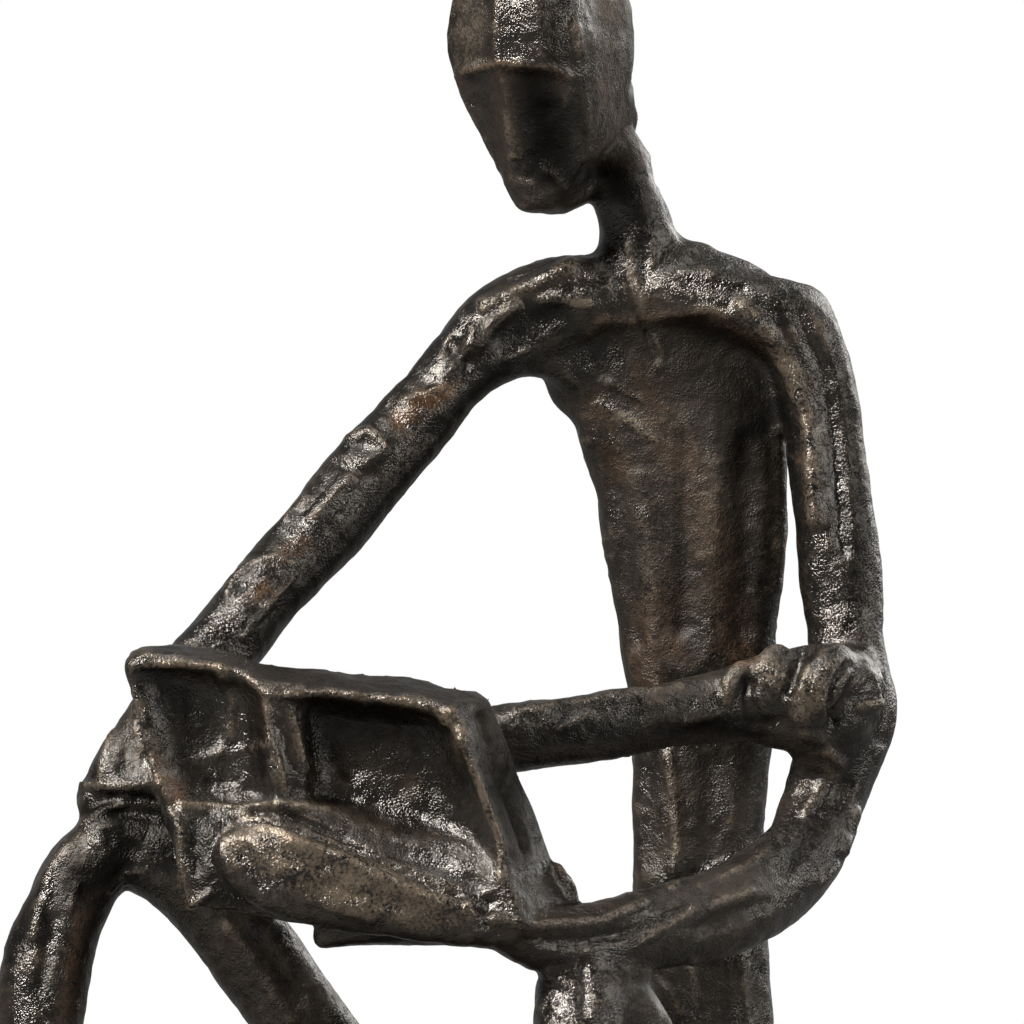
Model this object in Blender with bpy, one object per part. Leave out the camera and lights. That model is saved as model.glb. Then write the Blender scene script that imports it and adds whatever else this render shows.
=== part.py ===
"""Cast iron statue of a slender seated figure that reads an open book, on a low slab base.

Run it with: blender --background --python part.py
Metres, +Z up. The origin is the middle of the base's underside, and the figure faces -Y.
"""
import math

import bmesh
import bpy
from mathutils import Matrix, Vector

# Driving sizes, in metres
FIGURE_HEIGHT = 0.300
BASE_LENGTH = 0.220
BASE_DEPTH = 0.168
BASE_THICKNESS = 0.011
BASE_CORNER_RADIUS = 0.012
BASE_EDGE_ROUNDING = 0.0018
SEATING_GAP = 0.0003

# How closely the casting's skin is drawn
SKIN_VOXEL = 0.0015
SKIN_SMOOTHING_PASSES = 4
SKIN_TRIANGLES = 9200
SIDES = 20
STEPS_BETWEEN_STATIONS = 4
DOME_STEPS = 3
DOME_REACH = 0.6

# The figure is modelled in three-hundredths of its own height, seat and soles at zero.
# x runs to the viewer's right, y away from the viewer, z up. The hips sit behind the base's middle.
UNIT = FIGURE_HEIGHT / 300
HIPS_BEHIND_MIDDLE = 50
SOLE_CUT_DEPTH = 20

# Each station of a limb: x, y, z, half its width across the front view, half its thickness in depth
TORSO = (
    (56, 2, 6, 20.5, 16),
    (56, 3, 18, 21, 16.5),
    (56, 6, 38, 17.5, 13),
    (56.5, 9, 60, 13.5, 10.5),
    (56.6, 10, 79, 11.8, 9.5),
    (53.6, 10, 106, 12.8, 9.2),
    (53.4, 9, 124, 12.8, 8.8),
    (54.6, 8, 140, 14.4, 8.8),
    (53.6, 7, 160, 15.8, 9),
    (52.9, 4.5, 176, 18.4, 9.4),
    (52, 3, 188, 19.4, 9.6),
    (51, 1.5, 197, 21.4, 9.4),
    (50, 0, 206, 23, 8.8),
    (47, -1, 215, 25.5, 8.2),
    (45, -2, 223, 24, 7.8),
    (43, -3, 230, 15, 7.2),
)
NECK = (
    (43.5, -2.5, 226, 11.5, 8),
    (42, -3.5, 234, 8.8, 7.6),
    (41.4, -4, 240, 7.4, 7),
    (39.2, -5, 246, 7, 7),
    (37, -6.5, 252, 7, 7),
    (34, -8.5, 259, 7, 7),
)
TRAPEZIUS = (
    (44, -3, 236, 4.5, 5),
    (52, -3, 231.4, 5, 5.5),
    (60, -3.5, 226.4, 5.6, 6),
    (68, -4, 223, 6, 6),
    (75, -5, 219.6, 6, 6),
)
RIGHT_ARM = (
    (40.3, -7, 224.7, 5.6, 5),
    (31, -7, 224.8, 8, 7),
    (20.5, -6, 220.4, 10.6, 8.2),
    (11.4, -8, 215.8, 10, 8.2),
    (4.2, -10, 209.4, 8.4, 7.8),
    (-4.1, -14, 199.3, 8.4, 7.6),
    (-13.1, -19, 188.9, 8.8, 7.8),
    (-21.3, -24, 178.3, 8.6, 7.8),
    (-32.5, -31, 165.7, 8, 7.4),
    (-39.5, -35, 157.1, 8.1, 7.4),
    (-49.6, -41, 146.6, 7.8, 7.4),
    (-57.5, -45.5, 135, 7.8, 7.8),
    (-61.8, -47, 128.6, 7.8, 8),
)
RIGHT_FOREARM = (
    (-61.4, -47, 128.7, 7.6, 8),
    (-50.9, -49, 127.9, 6.8, 7),
    (-35.1, -49, 129.3, 6.4, 6.4),
    (-17.5, -47, 131.8, 6.4, 6.4),
    (0.2, -44.5, 134.7, 6.4, 6.4),
    (17, -42, 137.2, 6.6, 6.4),
    (26.7, -39.5, 138.4, 6.6, 6.2),
    (37.7, -35.5, 139.9, 6.8, 6),
    (45.7, -32.5, 141.3, 6.4, 6),
    (55.2, -29, 142.6, 7.2, 6),
    (61.9, -27, 144, 7.8, 6.2),
    (68.5, -26, 145.4, 8.8, 6.6),
)
RIGHT_HAND = (
    (64, -26.5, 144.2, 8.2, 6.4),
    (72, -26.5, 144.6, 10.2, 6.2),
    (79, -26, 144.8, 10.6, 6),
    (85.4, -22.5, 145.4, 8.6, 5.6),
)
LEFT_ARM = (
    (42, -7, 225.3, 5.2, 5),
    (51.9, -8, 225.2, 6.6, 6),
    (62.9, -8, 222.4, 7.4, 6.6),
    (72.6, -7, 219, 8.4, 7.4),
    (77, -6, 211.4, 8.2, 7.4),
    (78.6, -6, 202, 8, 7.2),
    (79.4, -7, 194, 7.6, 7),
    (80.4, -8, 182, 7.8, 7),
    (81.8, -9, 170, 8.2, 7.2),
    (82.8, -10, 162, 7.9, 7.2),
    (83.5, -11, 154, 7.6, 7.4),
    (84.6, -12.5, 144, 8.6, 8),
    (81.9, -15, 133, 8.8, 8.2),
    (78.5, -19, 123.6, 8.4, 8),
    (73.4, -26, 115.3, 8.6, 8),
    (67.2, -35, 109, 8.9, 8),
    (59.1, -45, 104, 9, 8),
    (49, -56, 101.2, 8.6, 7.6),
    (35.6, -67, 98.7, 7.4, 6.6),
    (24.8, -75, 98.6, 6, 5.6),
    (14.1, -82, 100.3, 4, 4.4),
)
LEFT_HAND = (
    (14.5, -82, 100.3, 3.8, 4.4),
    (8, -84, 101, 4.2, 4.4),
    (0.5, -86, 102.9, 5.2, 4.6),
    (-12.1, -88, 106.9, 7.4, 4.8),
    (-24.7, -89, 110.4, 8.4, 4.8),
    (-33.6, -89, 113.9, 7.4, 4.4),
    (-38.9, -88, 116.6, 4.6, 3.8),
)
LEFT_PALM = (
    (16, -80, 100.4, 3.6, 4),
    (2, -74, 100, 3.8, 7),
    (-12, -73, 99.6, 3.4, 8),
    (-21, -74, 98.4, 2.4, 5),
)
RIGHT_THIGH = (
    (-60, -49, 116.2, 7.8, 8.2),
    (-49.3, -48, 112.4, 8.6, 8.6),
    (-39.2, -45, 102.4, 9.5, 8.8),
    (-25.6, -39, 80.6, 9.8, 9),
    (-13.3, -32, 62.9, 10.4, 9.6),
    (4.1, -22, 44, 11.4, 10.6),
    (26, -10, 28.5, 12.6, 12),
    (47, -1, 19, 14, 13),
)
RIGHT_SHIN = (
    (-61.2, -49.5, 117, 7.8, 8.2),
    (-67.6, -50, 111.4, 8.1, 8.2),
    (-71.8, -50.5, 104.4, 8.2, 8),
    (-74.6, -51, 96.5, 8.3, 8),
    (-76.6, -52, 87.7, 8.3, 8),
    (-76.9, -53, 77.9, 8, 8),
    (-78.4, -55, 62, 7.4, 7.8),
    (-79.8, -57, 45, 6.6, 7),
    (-81.3, -58, 27, 5.8, 6.2),
    (-82, -58, 12, 5.8, 6.6),
    (-82.2, -58.5, 4, 6, 7),
)
LEFT_THIGH = (
    (63, 0, 18, 13.5, 13),
    (57, -15, 32.6, 12.2, 11.8),
    (50.6, -32, 49.4, 11, 10.6),
    (43.6, -48, 66.6, 10.2, 9.6),
    (37.2, -60, 80.6, 9.8, 9),
    (32.8, -67, 88, 9, 8.6),
)
LEFT_SHIN = (
    (30.6, -70, 88.6, 8.6, 8.2),
    (29.4, -74.5, 80, 8.8, 8.4),
    (28.8, -78, 67, 8.4, 8.4),
    (28, -81, 50, 7.4, 7.8),
    (26.9, -83, 32, 6.3, 6.8),
    (26.2, -84, 14, 5.8, 6.6),
    (26, -84.5, 4, 6.2, 7),
)
# The grip of the right hand round the left elbow, and the thumb of the left hand along the book
GRIP = (
    ((58, -32, 141.6, 2.8, 2.6), (61, -32, 150.4, 2.6, 2.4)),
    ((66, -31.5, 142, 3.6, 3.2), (70, -31, 152, 3.6, 3.2)),
    ((73.6, -32, 140.4, 4, 3.4), (82.4, -29, 151.6, 4.4, 3.6)),
    ((83, -28.5, 141, 2.8, 2.6), (84, -28, 146, 2.6, 2.4)),
    ((77, -23, 151.6, 3.8, 3.4), (86, -20, 150.6, 3.6, 3.4)),
)
LEFT_THUMB = (
    (-27, -93.4, 112.4, 2.4, 1.8),
    (-18, -93.6, 112.6, 2.8, 2),
    (-9, -92.6, 109.4, 2.6, 1.8),
    (0, -90.6, 107, 2, 1.6),
)
# Each station of a foot: x, y, z, half its width, half its height
RIGHT_FOOT = (
    (-80.4, -51.5, 5, 6, 6.4),
    (-81.6, -58, 6.4, 6.8, 8),
    (-84.2, -68, 5.4, 7.2, 6.8),
    (-87.4, -80, 3.6, 8.2, 5.2),
    (-89.8, -90, 2.4, 7, 3.8),
)
LEFT_FOOT = (
    (26.6, -77.5, 5, 6, 6.4),
    (26, -84, 6.4, 6.8, 8),
    (24.6, -95, 5.4, 7.2, 6.8),
    (22.6, -107, 3.6, 8.2, 5.2),
    (21, -118, 2.4, 7, 3.8),
)

# The head, upright and facing -Y, from its chin: depth, height, half its width, half its length
HEAD = (
    (-10.6, 1.8, 4.8, 4.4),
    (-9.2, 5.4, 7.6, 7.4),
    (-5.4, 12, 10.8, 12.6),
    (-2.2, 20, 13, 16.4),
    (-0.6, 28, 14.8, 18.8),
    (0.2, 35.6, 16, 20.6),
    (0.8, 43, 15.8, 20.4),
    (1, 48.6, 14.2, 18.4),
    (1.4, 53.2, 10.8, 14.4),
    (1.8, 56.2, 6.4, 9.2),
)
NOSE = (
    (0, -18.8, 30, 1.6, 2),
    (0, -19, 23, 2, 2.2),
    (0, -18.2, 15.5, 2.8, 2.2),
)
BROW = (
    (-14.2, -6, 29.6, 1.6, 1.6),
    (-11, -14, 31.4, 1.9, 1.8),
    (-5, -18, 32.6, 2, 1.8),
    (0, -18.8, 32.8, 2, 1.8),
    (5, -18, 32.6, 2, 1.8),
    (11, -14, 31.4, 1.9, 1.8),
    (14.2, -6, 29.6, 1.6, 1.6),
)
HEAD_SQUARENESS = 2.7
HEAD_TURN = math.radians(-27)
HEAD_BOW = math.radians(16)
CHIN_TO_PIVOT = 14
HEAD_PIVOT = (25.1, -13, 256.8)
CROWN_REACH = 0.28

LIMB_SQUARENESS = 2.2
TORSO_SQUARENESS = 2.5
HAND_SQUARENESS = 2.4

# The open book, back cover to the viewer, as columns from its left edge to its right edge.
# Each: x at the top, x at the bottom, z at the top, z at the bottom, depth of the front rim, thickness, hollow
BOOK_COLUMNS = (
    (-58.6, -46.2, 152.6, 105.2, 81, 4.4, 0.4),
    (-56.3, -44, 153, 104.6, 82, 6.4, 1.8),
    (-50, -40, 153.2, 104, 82.5, 9, 4.4),
    (-41, -34, 151.6, 103.4, 82.5, 11, 5.2),
    (-35, -29, 149.8, 102.6, 83, 12.5, 3.6),
    (-32.2, -27, 147.6, 102, 84.5, 14, 0.6),
    (-28.6, -23.6, 147, 101.6, 84, 14, 1.6),
    (-25.6, -21, 146.8, 101.2, 84, 14, 1.4),
    (-22.4, -18.4, 146.8, 101, 83, 14, 5.4),
    (-12, -9, 145.8, 100.2, 83, 14, 7),
    (-2, 1, 145, 99.4, 83, 14, 6.4),
    (3, 8, 143.6, 98.6, 83.5, 14, 3.4),
    (5.6, 14.2, 142.2, 98, 84, 14, 0.2),
    (8.6, 18, 142, 97.4, 79, 12, 0),
    (11.4, 24.4, 142.4, 97, 73, 9.5, 0),
    (13.2, 31.4, 142, 97, 68.5, 6, 0),
)
BOOK_TOP_SLOPE = 4.4


def clear_the_scene():
    """Removes the startup objects."""
    for old in list(bpy.data.objects):
        bpy.data.objects.remove(old, do_unlink=True)


def curve_through(stations, steps):
    """Stations on a smooth curve through the given ones, every value eased alike."""
    ends = [stations[0], *stations, stations[-1]]
    smooth = []
    for before, here, there, after in zip(ends, ends[1:], ends[2:], ends[3:]):
        for step in range(steps):
            t = step / steps
            smooth.append([
                0.5 * (2 * b + (c - a) * t + (2 * a - 5 * b + 4 * c - d) * t ** 2
                       + (3 * b - a - 3 * c + d) * t ** 3)
                for a, b, c, d in zip(before, here, there, after)
            ])
    smooth.append(list(stations[-1]))
    return smooth


def oval(centre, width_axis, depth_axis, half_width, half_depth, squareness):
    """The corners of one cross-section, an oval that gets boxier as squareness grows."""
    corners = []
    for side in range(SIDES):
        angle = 2 * math.pi * side / SIDES
        across, deep = math.cos(angle), math.sin(angle)
        across = math.copysign(abs(across) ** (2 / squareness), across)
        deep = math.copysign(abs(deep) ** (2 / squareness), deep)
        corners.append(centre + width_axis * (half_width * across) + depth_axis * (half_depth * deep))
    return corners


def skin_over(mesh, rings):
    """Joins rings of corners into one closed shell."""
    loops = [[mesh.verts.new(corner) for corner in ring] for ring in rings]
    for lower, upper in zip(loops, loops[1:]):
        for side in range(len(lower)):
            after = (side + 1) % len(lower)
            mesh.faces.new((lower[side], lower[after], upper[after], upper[side]))
    mesh.faces.new(list(reversed(loops[0])))
    mesh.faces.new(loops[-1])


def limb(mesh, stations, squareness=LIMB_SQUARENESS, facing=Vector((0, 1, 0)), placed=Matrix.Identity(4),
         dome_reach=DOME_REACH):
    """A rod of wax along the stations, with domed ends. Its width lies square to `facing`."""
    path = curve_through(stations, STEPS_BETWEEN_STATIONS)
    points = [Vector(station[:3]) for station in path]
    rings = []
    for index, station in enumerate(path):
        before = points[max(index - 1, 0)]
        after = points[min(index + 1, len(points) - 1)]
        along = (after - before).normalized()
        width_axis = along.cross(facing).normalized()
        depth_axis = width_axis.cross(along).normalized()
        half_width, half_depth = station[3], station[4]
        domes = [(0, 1)]
        if index in (0, len(path) - 1):
            outward = -1 if index == 0 else 1
            reach = dome_reach * min(half_width, half_depth)
            angles = [math.pi / 2 * step / (DOME_STEPS + 0.5) for step in range(DOME_STEPS + 1)]
            domes = [(outward * reach * math.sin(a), math.cos(a)) for a in angles]
            if index == 0:
                domes.reverse()
        for shift, shrink in domes:
            rings.append(oval(points[index] + along * shift, width_axis, depth_axis,
                              half_width * shrink, half_depth * shrink, squareness))
    skin_over(mesh, [[placed @ corner for corner in ring] for ring in rings])


def head(mesh):
    """The bowed and turned head, with its nose and brow."""
    placed = (Matrix.Translation(HEAD_PIVOT) @ Matrix.Rotation(HEAD_TURN, 4, "Z")
              @ Matrix.Rotation(HEAD_BOW, 4, "X") @ Matrix.Translation((0, 0, -CHIN_TO_PIVOT)))
    stations = [(0, depth, height, width, length) for depth, height, width, length in HEAD]
    limb(mesh, stations, HEAD_SQUARENESS, placed=placed, dome_reach=CROWN_REACH)
    limb(mesh, NOSE, placed=placed)
    limb(mesh, BROW, facing=Vector((0, 0, 1)), placed=placed)


def book(mesh):
    """The open book: one shell lofted from column to column, hollowed on the side the viewer sees."""
    rings = []
    for column in curve_through(BOOK_COLUMNS, 3):
        x_top, x_bottom, z_top, z_bottom, front, thickness, hollow = column
        height = z_top - z_bottom
        back = front - thickness
        # Share of the height down from the top, then the depth towards the viewer
        outline = (
            (-BOOK_TOP_SLOPE * thickness / 14 / height, back),
            (0, front),
            (0.07, front - 0.8),
            (0.13, front - 0.5 - hollow),
            (0.35, front - hollow * 1.05),
            (0.52, front - hollow * 0.9),
            (0.62, front - hollow * 0.45),
            (0.72, front + 0.6),
            (0.86, front + 1.6),
            (1, front + 1),
            (1, back + 2),
            (0.6, back),
            (0.3, back),
        )
        rings.append([
            Vector((x_top + (x_bottom - x_top) * down, -depth, z_top - height * down))
            for down, depth in outline
        ])
    skin_over(mesh, rings)


def iron(name, colour, roughness):
    """A dark bronzed iron finish."""
    material = bpy.data.materials.new(name)
    material.use_nodes = True
    shader = material.node_tree.nodes["Principled BSDF"]
    shader.inputs["Base Color"].default_value = (*colour, 1)
    shader.inputs["Metallic"].default_value = 0.75
    shader.inputs["Roughness"].default_value = roughness
    return material


def show(name, mesh, material):
    """Puts a finished bmesh into the scene as a named object."""
    bmesh.ops.recalc_face_normals(mesh, faces=mesh.faces)
    data = bpy.data.meshes.new(name)
    mesh.to_mesh(data)
    mesh.free()
    data.materials.append(material)
    made = bpy.data.objects.new(name, data)
    bpy.context.scene.collection.objects.link(made)
    return made


def base(material):
    """The slab that the figure sits on, with rounded corners and eased edges."""
    mesh = bmesh.new()
    bmesh.ops.create_cube(mesh, size=1)
    bmesh.ops.scale(mesh, vec=(BASE_LENGTH, BASE_DEPTH, BASE_THICKNESS), verts=mesh.verts)
    bmesh.ops.translate(mesh, vec=(0, 0, BASE_THICKNESS / 2), verts=mesh.verts)
    upright = [e for e in mesh.edges if abs(e.verts[0].co.z - e.verts[1].co.z) > BASE_THICKNESS / 2]
    bmesh.ops.bevel(mesh, geom=upright, offset=BASE_CORNER_RADIUS, segments=6, profile=0.5, affect="EDGES")
    made = show("base", mesh, material)
    easing = made.modifiers.new("eased edges", "BEVEL")
    easing.width = BASE_EDGE_ROUNDING
    easing.segments = 2
    easing.limit_method = "ANGLE"
    return made


def ground_cutter():
    """A block below the soles and seat, which trims them flat."""
    mesh = bmesh.new()
    bmesh.ops.create_cube(mesh, size=1)
    bmesh.ops.scale(mesh, vec=(2 * FIGURE_HEIGHT, 2 * FIGURE_HEIGHT, SOLE_CUT_DEPTH * UNIT), verts=mesh.verts)
    made = bpy.data.objects.new("sole_cutter", bpy.data.meshes.new("sole_cutter"))
    mesh.to_mesh(made.data)
    mesh.free()
    made.location.z = BASE_THICKNESS + SEATING_GAP - SOLE_CUT_DEPTH * UNIT / 2
    made.hide_render = True
    made.display_type = "WIRE"
    bpy.context.scene.collection.objects.link(made)
    return made


def figure(material):
    """The whole figure with its book, one casting: rods and slabs fused into a single skin."""
    mesh = bmesh.new()
    limb(mesh, TORSO, TORSO_SQUARENESS)
    for stations in (NECK, TRAPEZIUS, RIGHT_ARM, RIGHT_FOREARM, LEFT_ARM,
                     RIGHT_THIGH, RIGHT_SHIN, LEFT_THIGH, LEFT_SHIN):
        limb(mesh, stations)
    for stations in (RIGHT_HAND, LEFT_HAND, LEFT_PALM, LEFT_THUMB, *GRIP):
        limb(mesh, stations, HAND_SQUARENESS)
    for stations in (RIGHT_FOOT, LEFT_FOOT):
        limb(mesh, stations, facing=Vector((0, 0, 1)))
    head(mesh)
    book(mesh)
    bmesh.ops.translate(mesh, vec=(0, HIPS_BEHIND_MIDDLE, 0), verts=mesh.verts)
    bmesh.ops.scale(mesh, vec=(UNIT, UNIT, UNIT), verts=mesh.verts)
    bmesh.ops.translate(mesh, vec=(0, 0, BASE_THICKNESS + SEATING_GAP), verts=mesh.verts)
    made = show("figure", mesh, material)

    fusing = made.modifiers.new("fused skin", "REMESH")
    fusing.mode = "VOXEL"
    fusing.voxel_size = SKIN_VOXEL
    easing = made.modifiers.new("eased joins", "SMOOTH")
    easing.factor = 0.5
    easing.iterations = SKIN_SMOOTHING_PASSES
    thinning = made.modifiers.new("fewer faces", "DECIMATE")
    thinning.use_collapse_triangulate = True
    thinning.ratio = thinning_ratio(made)
    trimming = made.modifiers.new("flat seat and soles", "BOOLEAN")
    trimming.operation = "DIFFERENCE"
    trimming.object = ground_cutter()
    return made


def thinning_ratio(made):
    """The share of faces to keep, so that the skin ends near SKIN_TRIANGLES."""
    bpy.context.view_layer.update()
    last = made.modifiers[-1]
    last.show_viewport = False
    whole = made.evaluated_get(bpy.context.evaluated_depsgraph_get())
    triangles = sum(len(face.vertices) - 2 for face in whole.data.polygons)
    last.show_viewport = True
    return min(1, SKIN_TRIANGLES / triangles)


def main():
    clear_the_scene()
    patina = iron("dark_patina", (0.045, 0.038, 0.032), 0.42)
    slab_patina = iron("slab_patina", (0.04, 0.035, 0.03), 0.5)
    base(slab_patina)
    figure(patina)


main()
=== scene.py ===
"""Cast iron statue of a seated reader: the casting, its patina, the studio and the camera."""

import logging
import math
from dataclasses import dataclass, field
from enum import Enum

import bmesh
import bpy
import numpy as np
from mathutils import Matrix, Vector, noise


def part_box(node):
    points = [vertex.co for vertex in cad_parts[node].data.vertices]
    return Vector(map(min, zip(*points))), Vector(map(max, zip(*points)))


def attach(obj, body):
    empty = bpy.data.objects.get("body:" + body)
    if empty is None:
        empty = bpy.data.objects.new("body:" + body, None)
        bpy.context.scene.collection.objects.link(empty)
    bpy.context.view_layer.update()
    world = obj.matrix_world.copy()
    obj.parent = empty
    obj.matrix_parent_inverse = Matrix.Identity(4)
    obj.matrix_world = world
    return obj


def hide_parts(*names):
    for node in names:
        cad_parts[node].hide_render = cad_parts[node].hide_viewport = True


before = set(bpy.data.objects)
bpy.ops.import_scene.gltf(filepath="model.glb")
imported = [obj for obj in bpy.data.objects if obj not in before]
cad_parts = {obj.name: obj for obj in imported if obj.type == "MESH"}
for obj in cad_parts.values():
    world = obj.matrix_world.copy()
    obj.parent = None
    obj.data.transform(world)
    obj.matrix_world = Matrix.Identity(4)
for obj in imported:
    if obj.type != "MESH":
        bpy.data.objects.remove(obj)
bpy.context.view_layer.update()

LOG = logging.getLogger("reader_statue")

# The figure is drawn in three-hundredths of its height, seat and soles at zero
FIGURE_HEIGHT = 0.300
UNIT = FIGURE_HEIGHT / 300
HIPS_BEHIND_MIDDLE = 50

# The picture: how far away the eye stands, and what it is aimed at
EYE_DISTANCE = 3.0
EYE_ACROSS = 16.4
EYE_UP = 181.6
PICTURE_SIDE = 1024
PICTURE_STEPS_PER_METRE = 5000
PICTURE_STEPS_PER_UNIT = 5
SENSOR_WIDTH = 36.0
# Where the figure's own zero appears in the picture, at the depth of the hips
ZERO_RIGHT = 430
ZERO_DOWN = 1420


class Ink(Enum):
    """What a tool mark leaves in the wax."""

    ROLL = "soft raised roll"
    RIDGE = "crisp raised line"
    GROOVE = "crisp sunken line"
    DIMPLE = "soft sunken place"


class Tint(Enum):
    """What a stroke of the patina brush leaves: dryness and rust on the iron, and painted shade."""

    DRY = "dry_share"
    RUST = "rust_share"
    # Painted shade: black laid where the figure is shadowed, under the jaw, on the arm's shaded side, at the knee
    # and in the book's recess
    PAINTED_SHADE = "painted_shade_share"


@dataclass(frozen=True)
class Rod:
    """A rod of wax: stations of x, y, z, half width and half depth."""

    stations: tuple
    squareness: float = 2.2
    facing: tuple = (0.0, 1.0, 0.0)
    dome_reach: float = 0.6
    placed: Matrix = field(default_factory=lambda: Matrix.Identity(4))


@dataclass(frozen=True)
class ToolMark:
    """A stroke of the modelling tool, drawn in the front view.

    Points are places in the picture, five steps to a millimetre at the torso, from its top left corner. The
    radius is in the same steps, the height in three-hundredths of the figure, and the last value says how far the
    patina is worn through along the stroke, which in places also paints a highlight there.
    """

    ink: Ink
    points: tuple
    radius: float
    height: float
    wear_and_highlight: float = 0.0


@dataclass(frozen=True)
class BrushMark:
    """A stroke of the patina brush, drawn in the front view."""

    tint: Tint
    points: tuple
    radius: float
    strength: float


def drawn(*stations: tuple) -> tuple:
    """Turns stations drawn in the front view into stations of a rod.

    Args:
        stations: steps right, steps down, depth towards the eye, half width and half depth.

    Returns:
        The stations as x, y, z, half width and half depth.
    """
    middle = PICTURE_SIDE / 2
    reach = EYE_DISTANCE * PICTURE_STEPS_PER_METRE
    return tuple(((right - ZERO_RIGHT) / PICTURE_STEPS_PER_UNIT - (right - middle) * depth / reach, -depth,
                  (ZERO_DOWN - down) / PICTURE_STEPS_PER_UNIT + (down - middle) * depth / reach, width, thick)
                 for right, down, depth, width, thick in stations)


def tool_marks(*rows: tuple) -> tuple:
    """Turns rows of ink, points, radius, height and rub into tool marks."""
    return tuple(ToolMark(*row) for row in rows)


def brush_marks(*rows: tuple) -> tuple:
    """Turns rows of tint, points, radius and strength into brush marks."""
    return tuple(BrushMark(*row) for row in rows)


TORSO = Rod((
    (56, 2, 6, 20.5, 16), (56, 3, 18, 21, 16.5), (56.8, 6, 38, 17.6, 13), (57.1, 9, 60, 13.5, 10.5),
    (57, 10, 79, 12, 9.5), (54, 10, 106, 13.2, 9.2), (54, 9, 124, 13.4, 8.8), (54.7, 8, 140, 14.6, 8.8),
    (53.6, 7, 160, 16.3, 9), (53, 4.5, 176, 18.7, 9.4), (52.2, 3, 188, 19.6, 9.6), (51, 1.5, 197, 21.2, 9.4),
    (50, 0, 206, 23, 8.8), (47, -1, 215, 25.5, 8.2), (45, -2, 223, 24, 7.8), (43, -3, 230, 15, 7.2),
), squareness=2.5)
NECK = Rod((
    (43.5, -2.5, 226, 11.5, 8), (41.8, -3.5, 234, 8.6, 7.6), (40.8, -4, 240, 7.2, 7), (38.6, -5, 246, 6.8, 7),
    (36.4, -6.5, 252, 6.7, 7), (33.6, -8.5, 259, 6.8, 7),
))
TRAPEZIUS = Rod((
    (44, -3, 236, 4.3, 5), (52, -3, 230.2, 4.7, 5.5), (60, -3.5, 224.4, 5.4, 6), (68, -4, 221, 5.7, 6),
    (75, -5, 218.8, 5.9, 6),
))
RIGHT_ARM = Rod((
    (40.3, -7, 224.9, 5.8, 5), (31, -7, 225, 8.4, 7), (20.5, -6, 220.6, 10.6, 8.2),
    (11.6, -8, 215.4, 9.3, 8.2),
    (4.8, -10, 208.8, 7.4, 7.8), (-3.7, -14, 198.8, 7.8, 7.6), (-12.8, -19, 188.6, 8.5, 7.8),
    (-21.2, -24, 178.2, 8.2, 7.8), (-32.4, -31, 165.7, 7.6, 7.4), (-39.2, -35, 156.8, 7.7, 7.4),
    (-49.1, -41, 146.1, 7.3, 7.4), (-56.5, -45.5, 135.2, 7, 7.8), (-60.9, -47, 128, 7, 8),
))
RIGHT_FOREARM = Rod((
    (-60.4, -47, 127.4, 6.6, 8), (-50.9, -49, 127.9, 6.8, 7), (-35.1, -49, 129.3, 6.4, 6.4),
    (-17.5, -47, 131.8, 6.4, 6.4), (0.2, -44.5, 134.7, 6.6, 6.4), (17, -42, 137.1, 7, 6.4),
    (26.7, -39.5, 138.2, 7, 6.2), (37.7, -35.5, 139.9, 7, 6), (45.7, -32.5, 141.3, 6.5, 6),
    (55.2, -29, 142.6, 7.2, 6), (61.9, -27, 144, 7.8, 6.2), (68.5, -26, 145.4, 8.8, 6.6),
))
RIGHT_HAND = Rod((
    (64, -26.5, 144.2, 8.2, 6.4), (72, -26.5, 144.1, 10.6, 6.2), (79, -26, 144.6, 10.7, 6),
    (85.4, -22.5, 145.4, 8.6, 5.6),
), squareness=2.4)
GRIP = (
    Rod(drawn((746, 667, 30.5, 2, 2.2), (733, 678, 32, 2.4, 2.6), (728, 696, 32, 2.4, 2.6),
              (736, 710, 31, 2, 2.2))),
    Rod(drawn((778, 656, 28, 3.2, 3.4), (772, 672, 30.6, 4.2, 3.4), (771, 692, 31, 4.3, 3.2),
              (773, 710, 30.6, 3.4, 2.8)),
        squareness=2.6),
    Rod(drawn((838, 658, 27, 3.4, 3.4), (828, 672, 31, 4.6, 3.8), (815, 694, 33, 5, 3.8),
              (809, 712, 32.4, 4.5, 3.4),
              (812, 728, 30, 3.2, 2.8)), squareness=2.6),
    Rod(drawn((812, 730, 27, 5, 4.4), (822, 752, 24, 6.4, 4.6), (830, 778, 20, 7, 4.8))),
    Rod(drawn((858, 685, 25, 2.6, 2.6), (874, 681, 22, 2.6, 2.6))),
    Rod(drawn((845, 708, 28, 1.6, 2), (844, 719, 28.4, 1.9, 2.2))),
    Rod(drawn((852, 707, 28, 1.2, 1.6), (870, 706, 27, 1.3, 1.8), (881, 703, 24.6, 1, 1.6))),
    Rod(drawn((829, 662, 23, 3.8, 3.4), (868, 668, 20, 3.6, 3.4)), squareness=2.4),
)
LEFT_ARM = Rod((
    (42, -7, 225.3, 5.2, 5), (51.9, -8, 225.2, 6.6, 6), (62.9, -8, 222, 7.2, 6.6), (72.2, -7, 218.6, 8, 7.4),
    (76.4, -6, 211.4, 7.8, 7.4), (78.2, -6, 202, 7.8, 7.2), (79.1, -7, 194, 7.9, 7), (80.5, -8, 182, 8.2, 7),
    (81.8, -9, 170, 8.5, 7.2), (82.7, -10, 162, 8.1, 7.2), (83, -11, 155.4, 7.5, 7.4),
    (84.6, -12.5, 142.6, 8.7, 8),
    (81, -15.5, 132.4, 8.8, 8.4), (77.6, -19.5, 122.8, 8.2, 8.2), (74.1, -26, 114.2, 8.4, 8),
    (67.8, -35, 108.2, 8.9, 8),
    (59.6, -45, 103.4, 9, 8), (49.2, -56, 101, 8.6, 7.6), (35.6, -67, 98.5, 7.5, 6.6),
    (24.8, -75, 97.8, 7.2, 5.6),
    (14.1, -82, 100.3, 4, 4.4),
))
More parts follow.
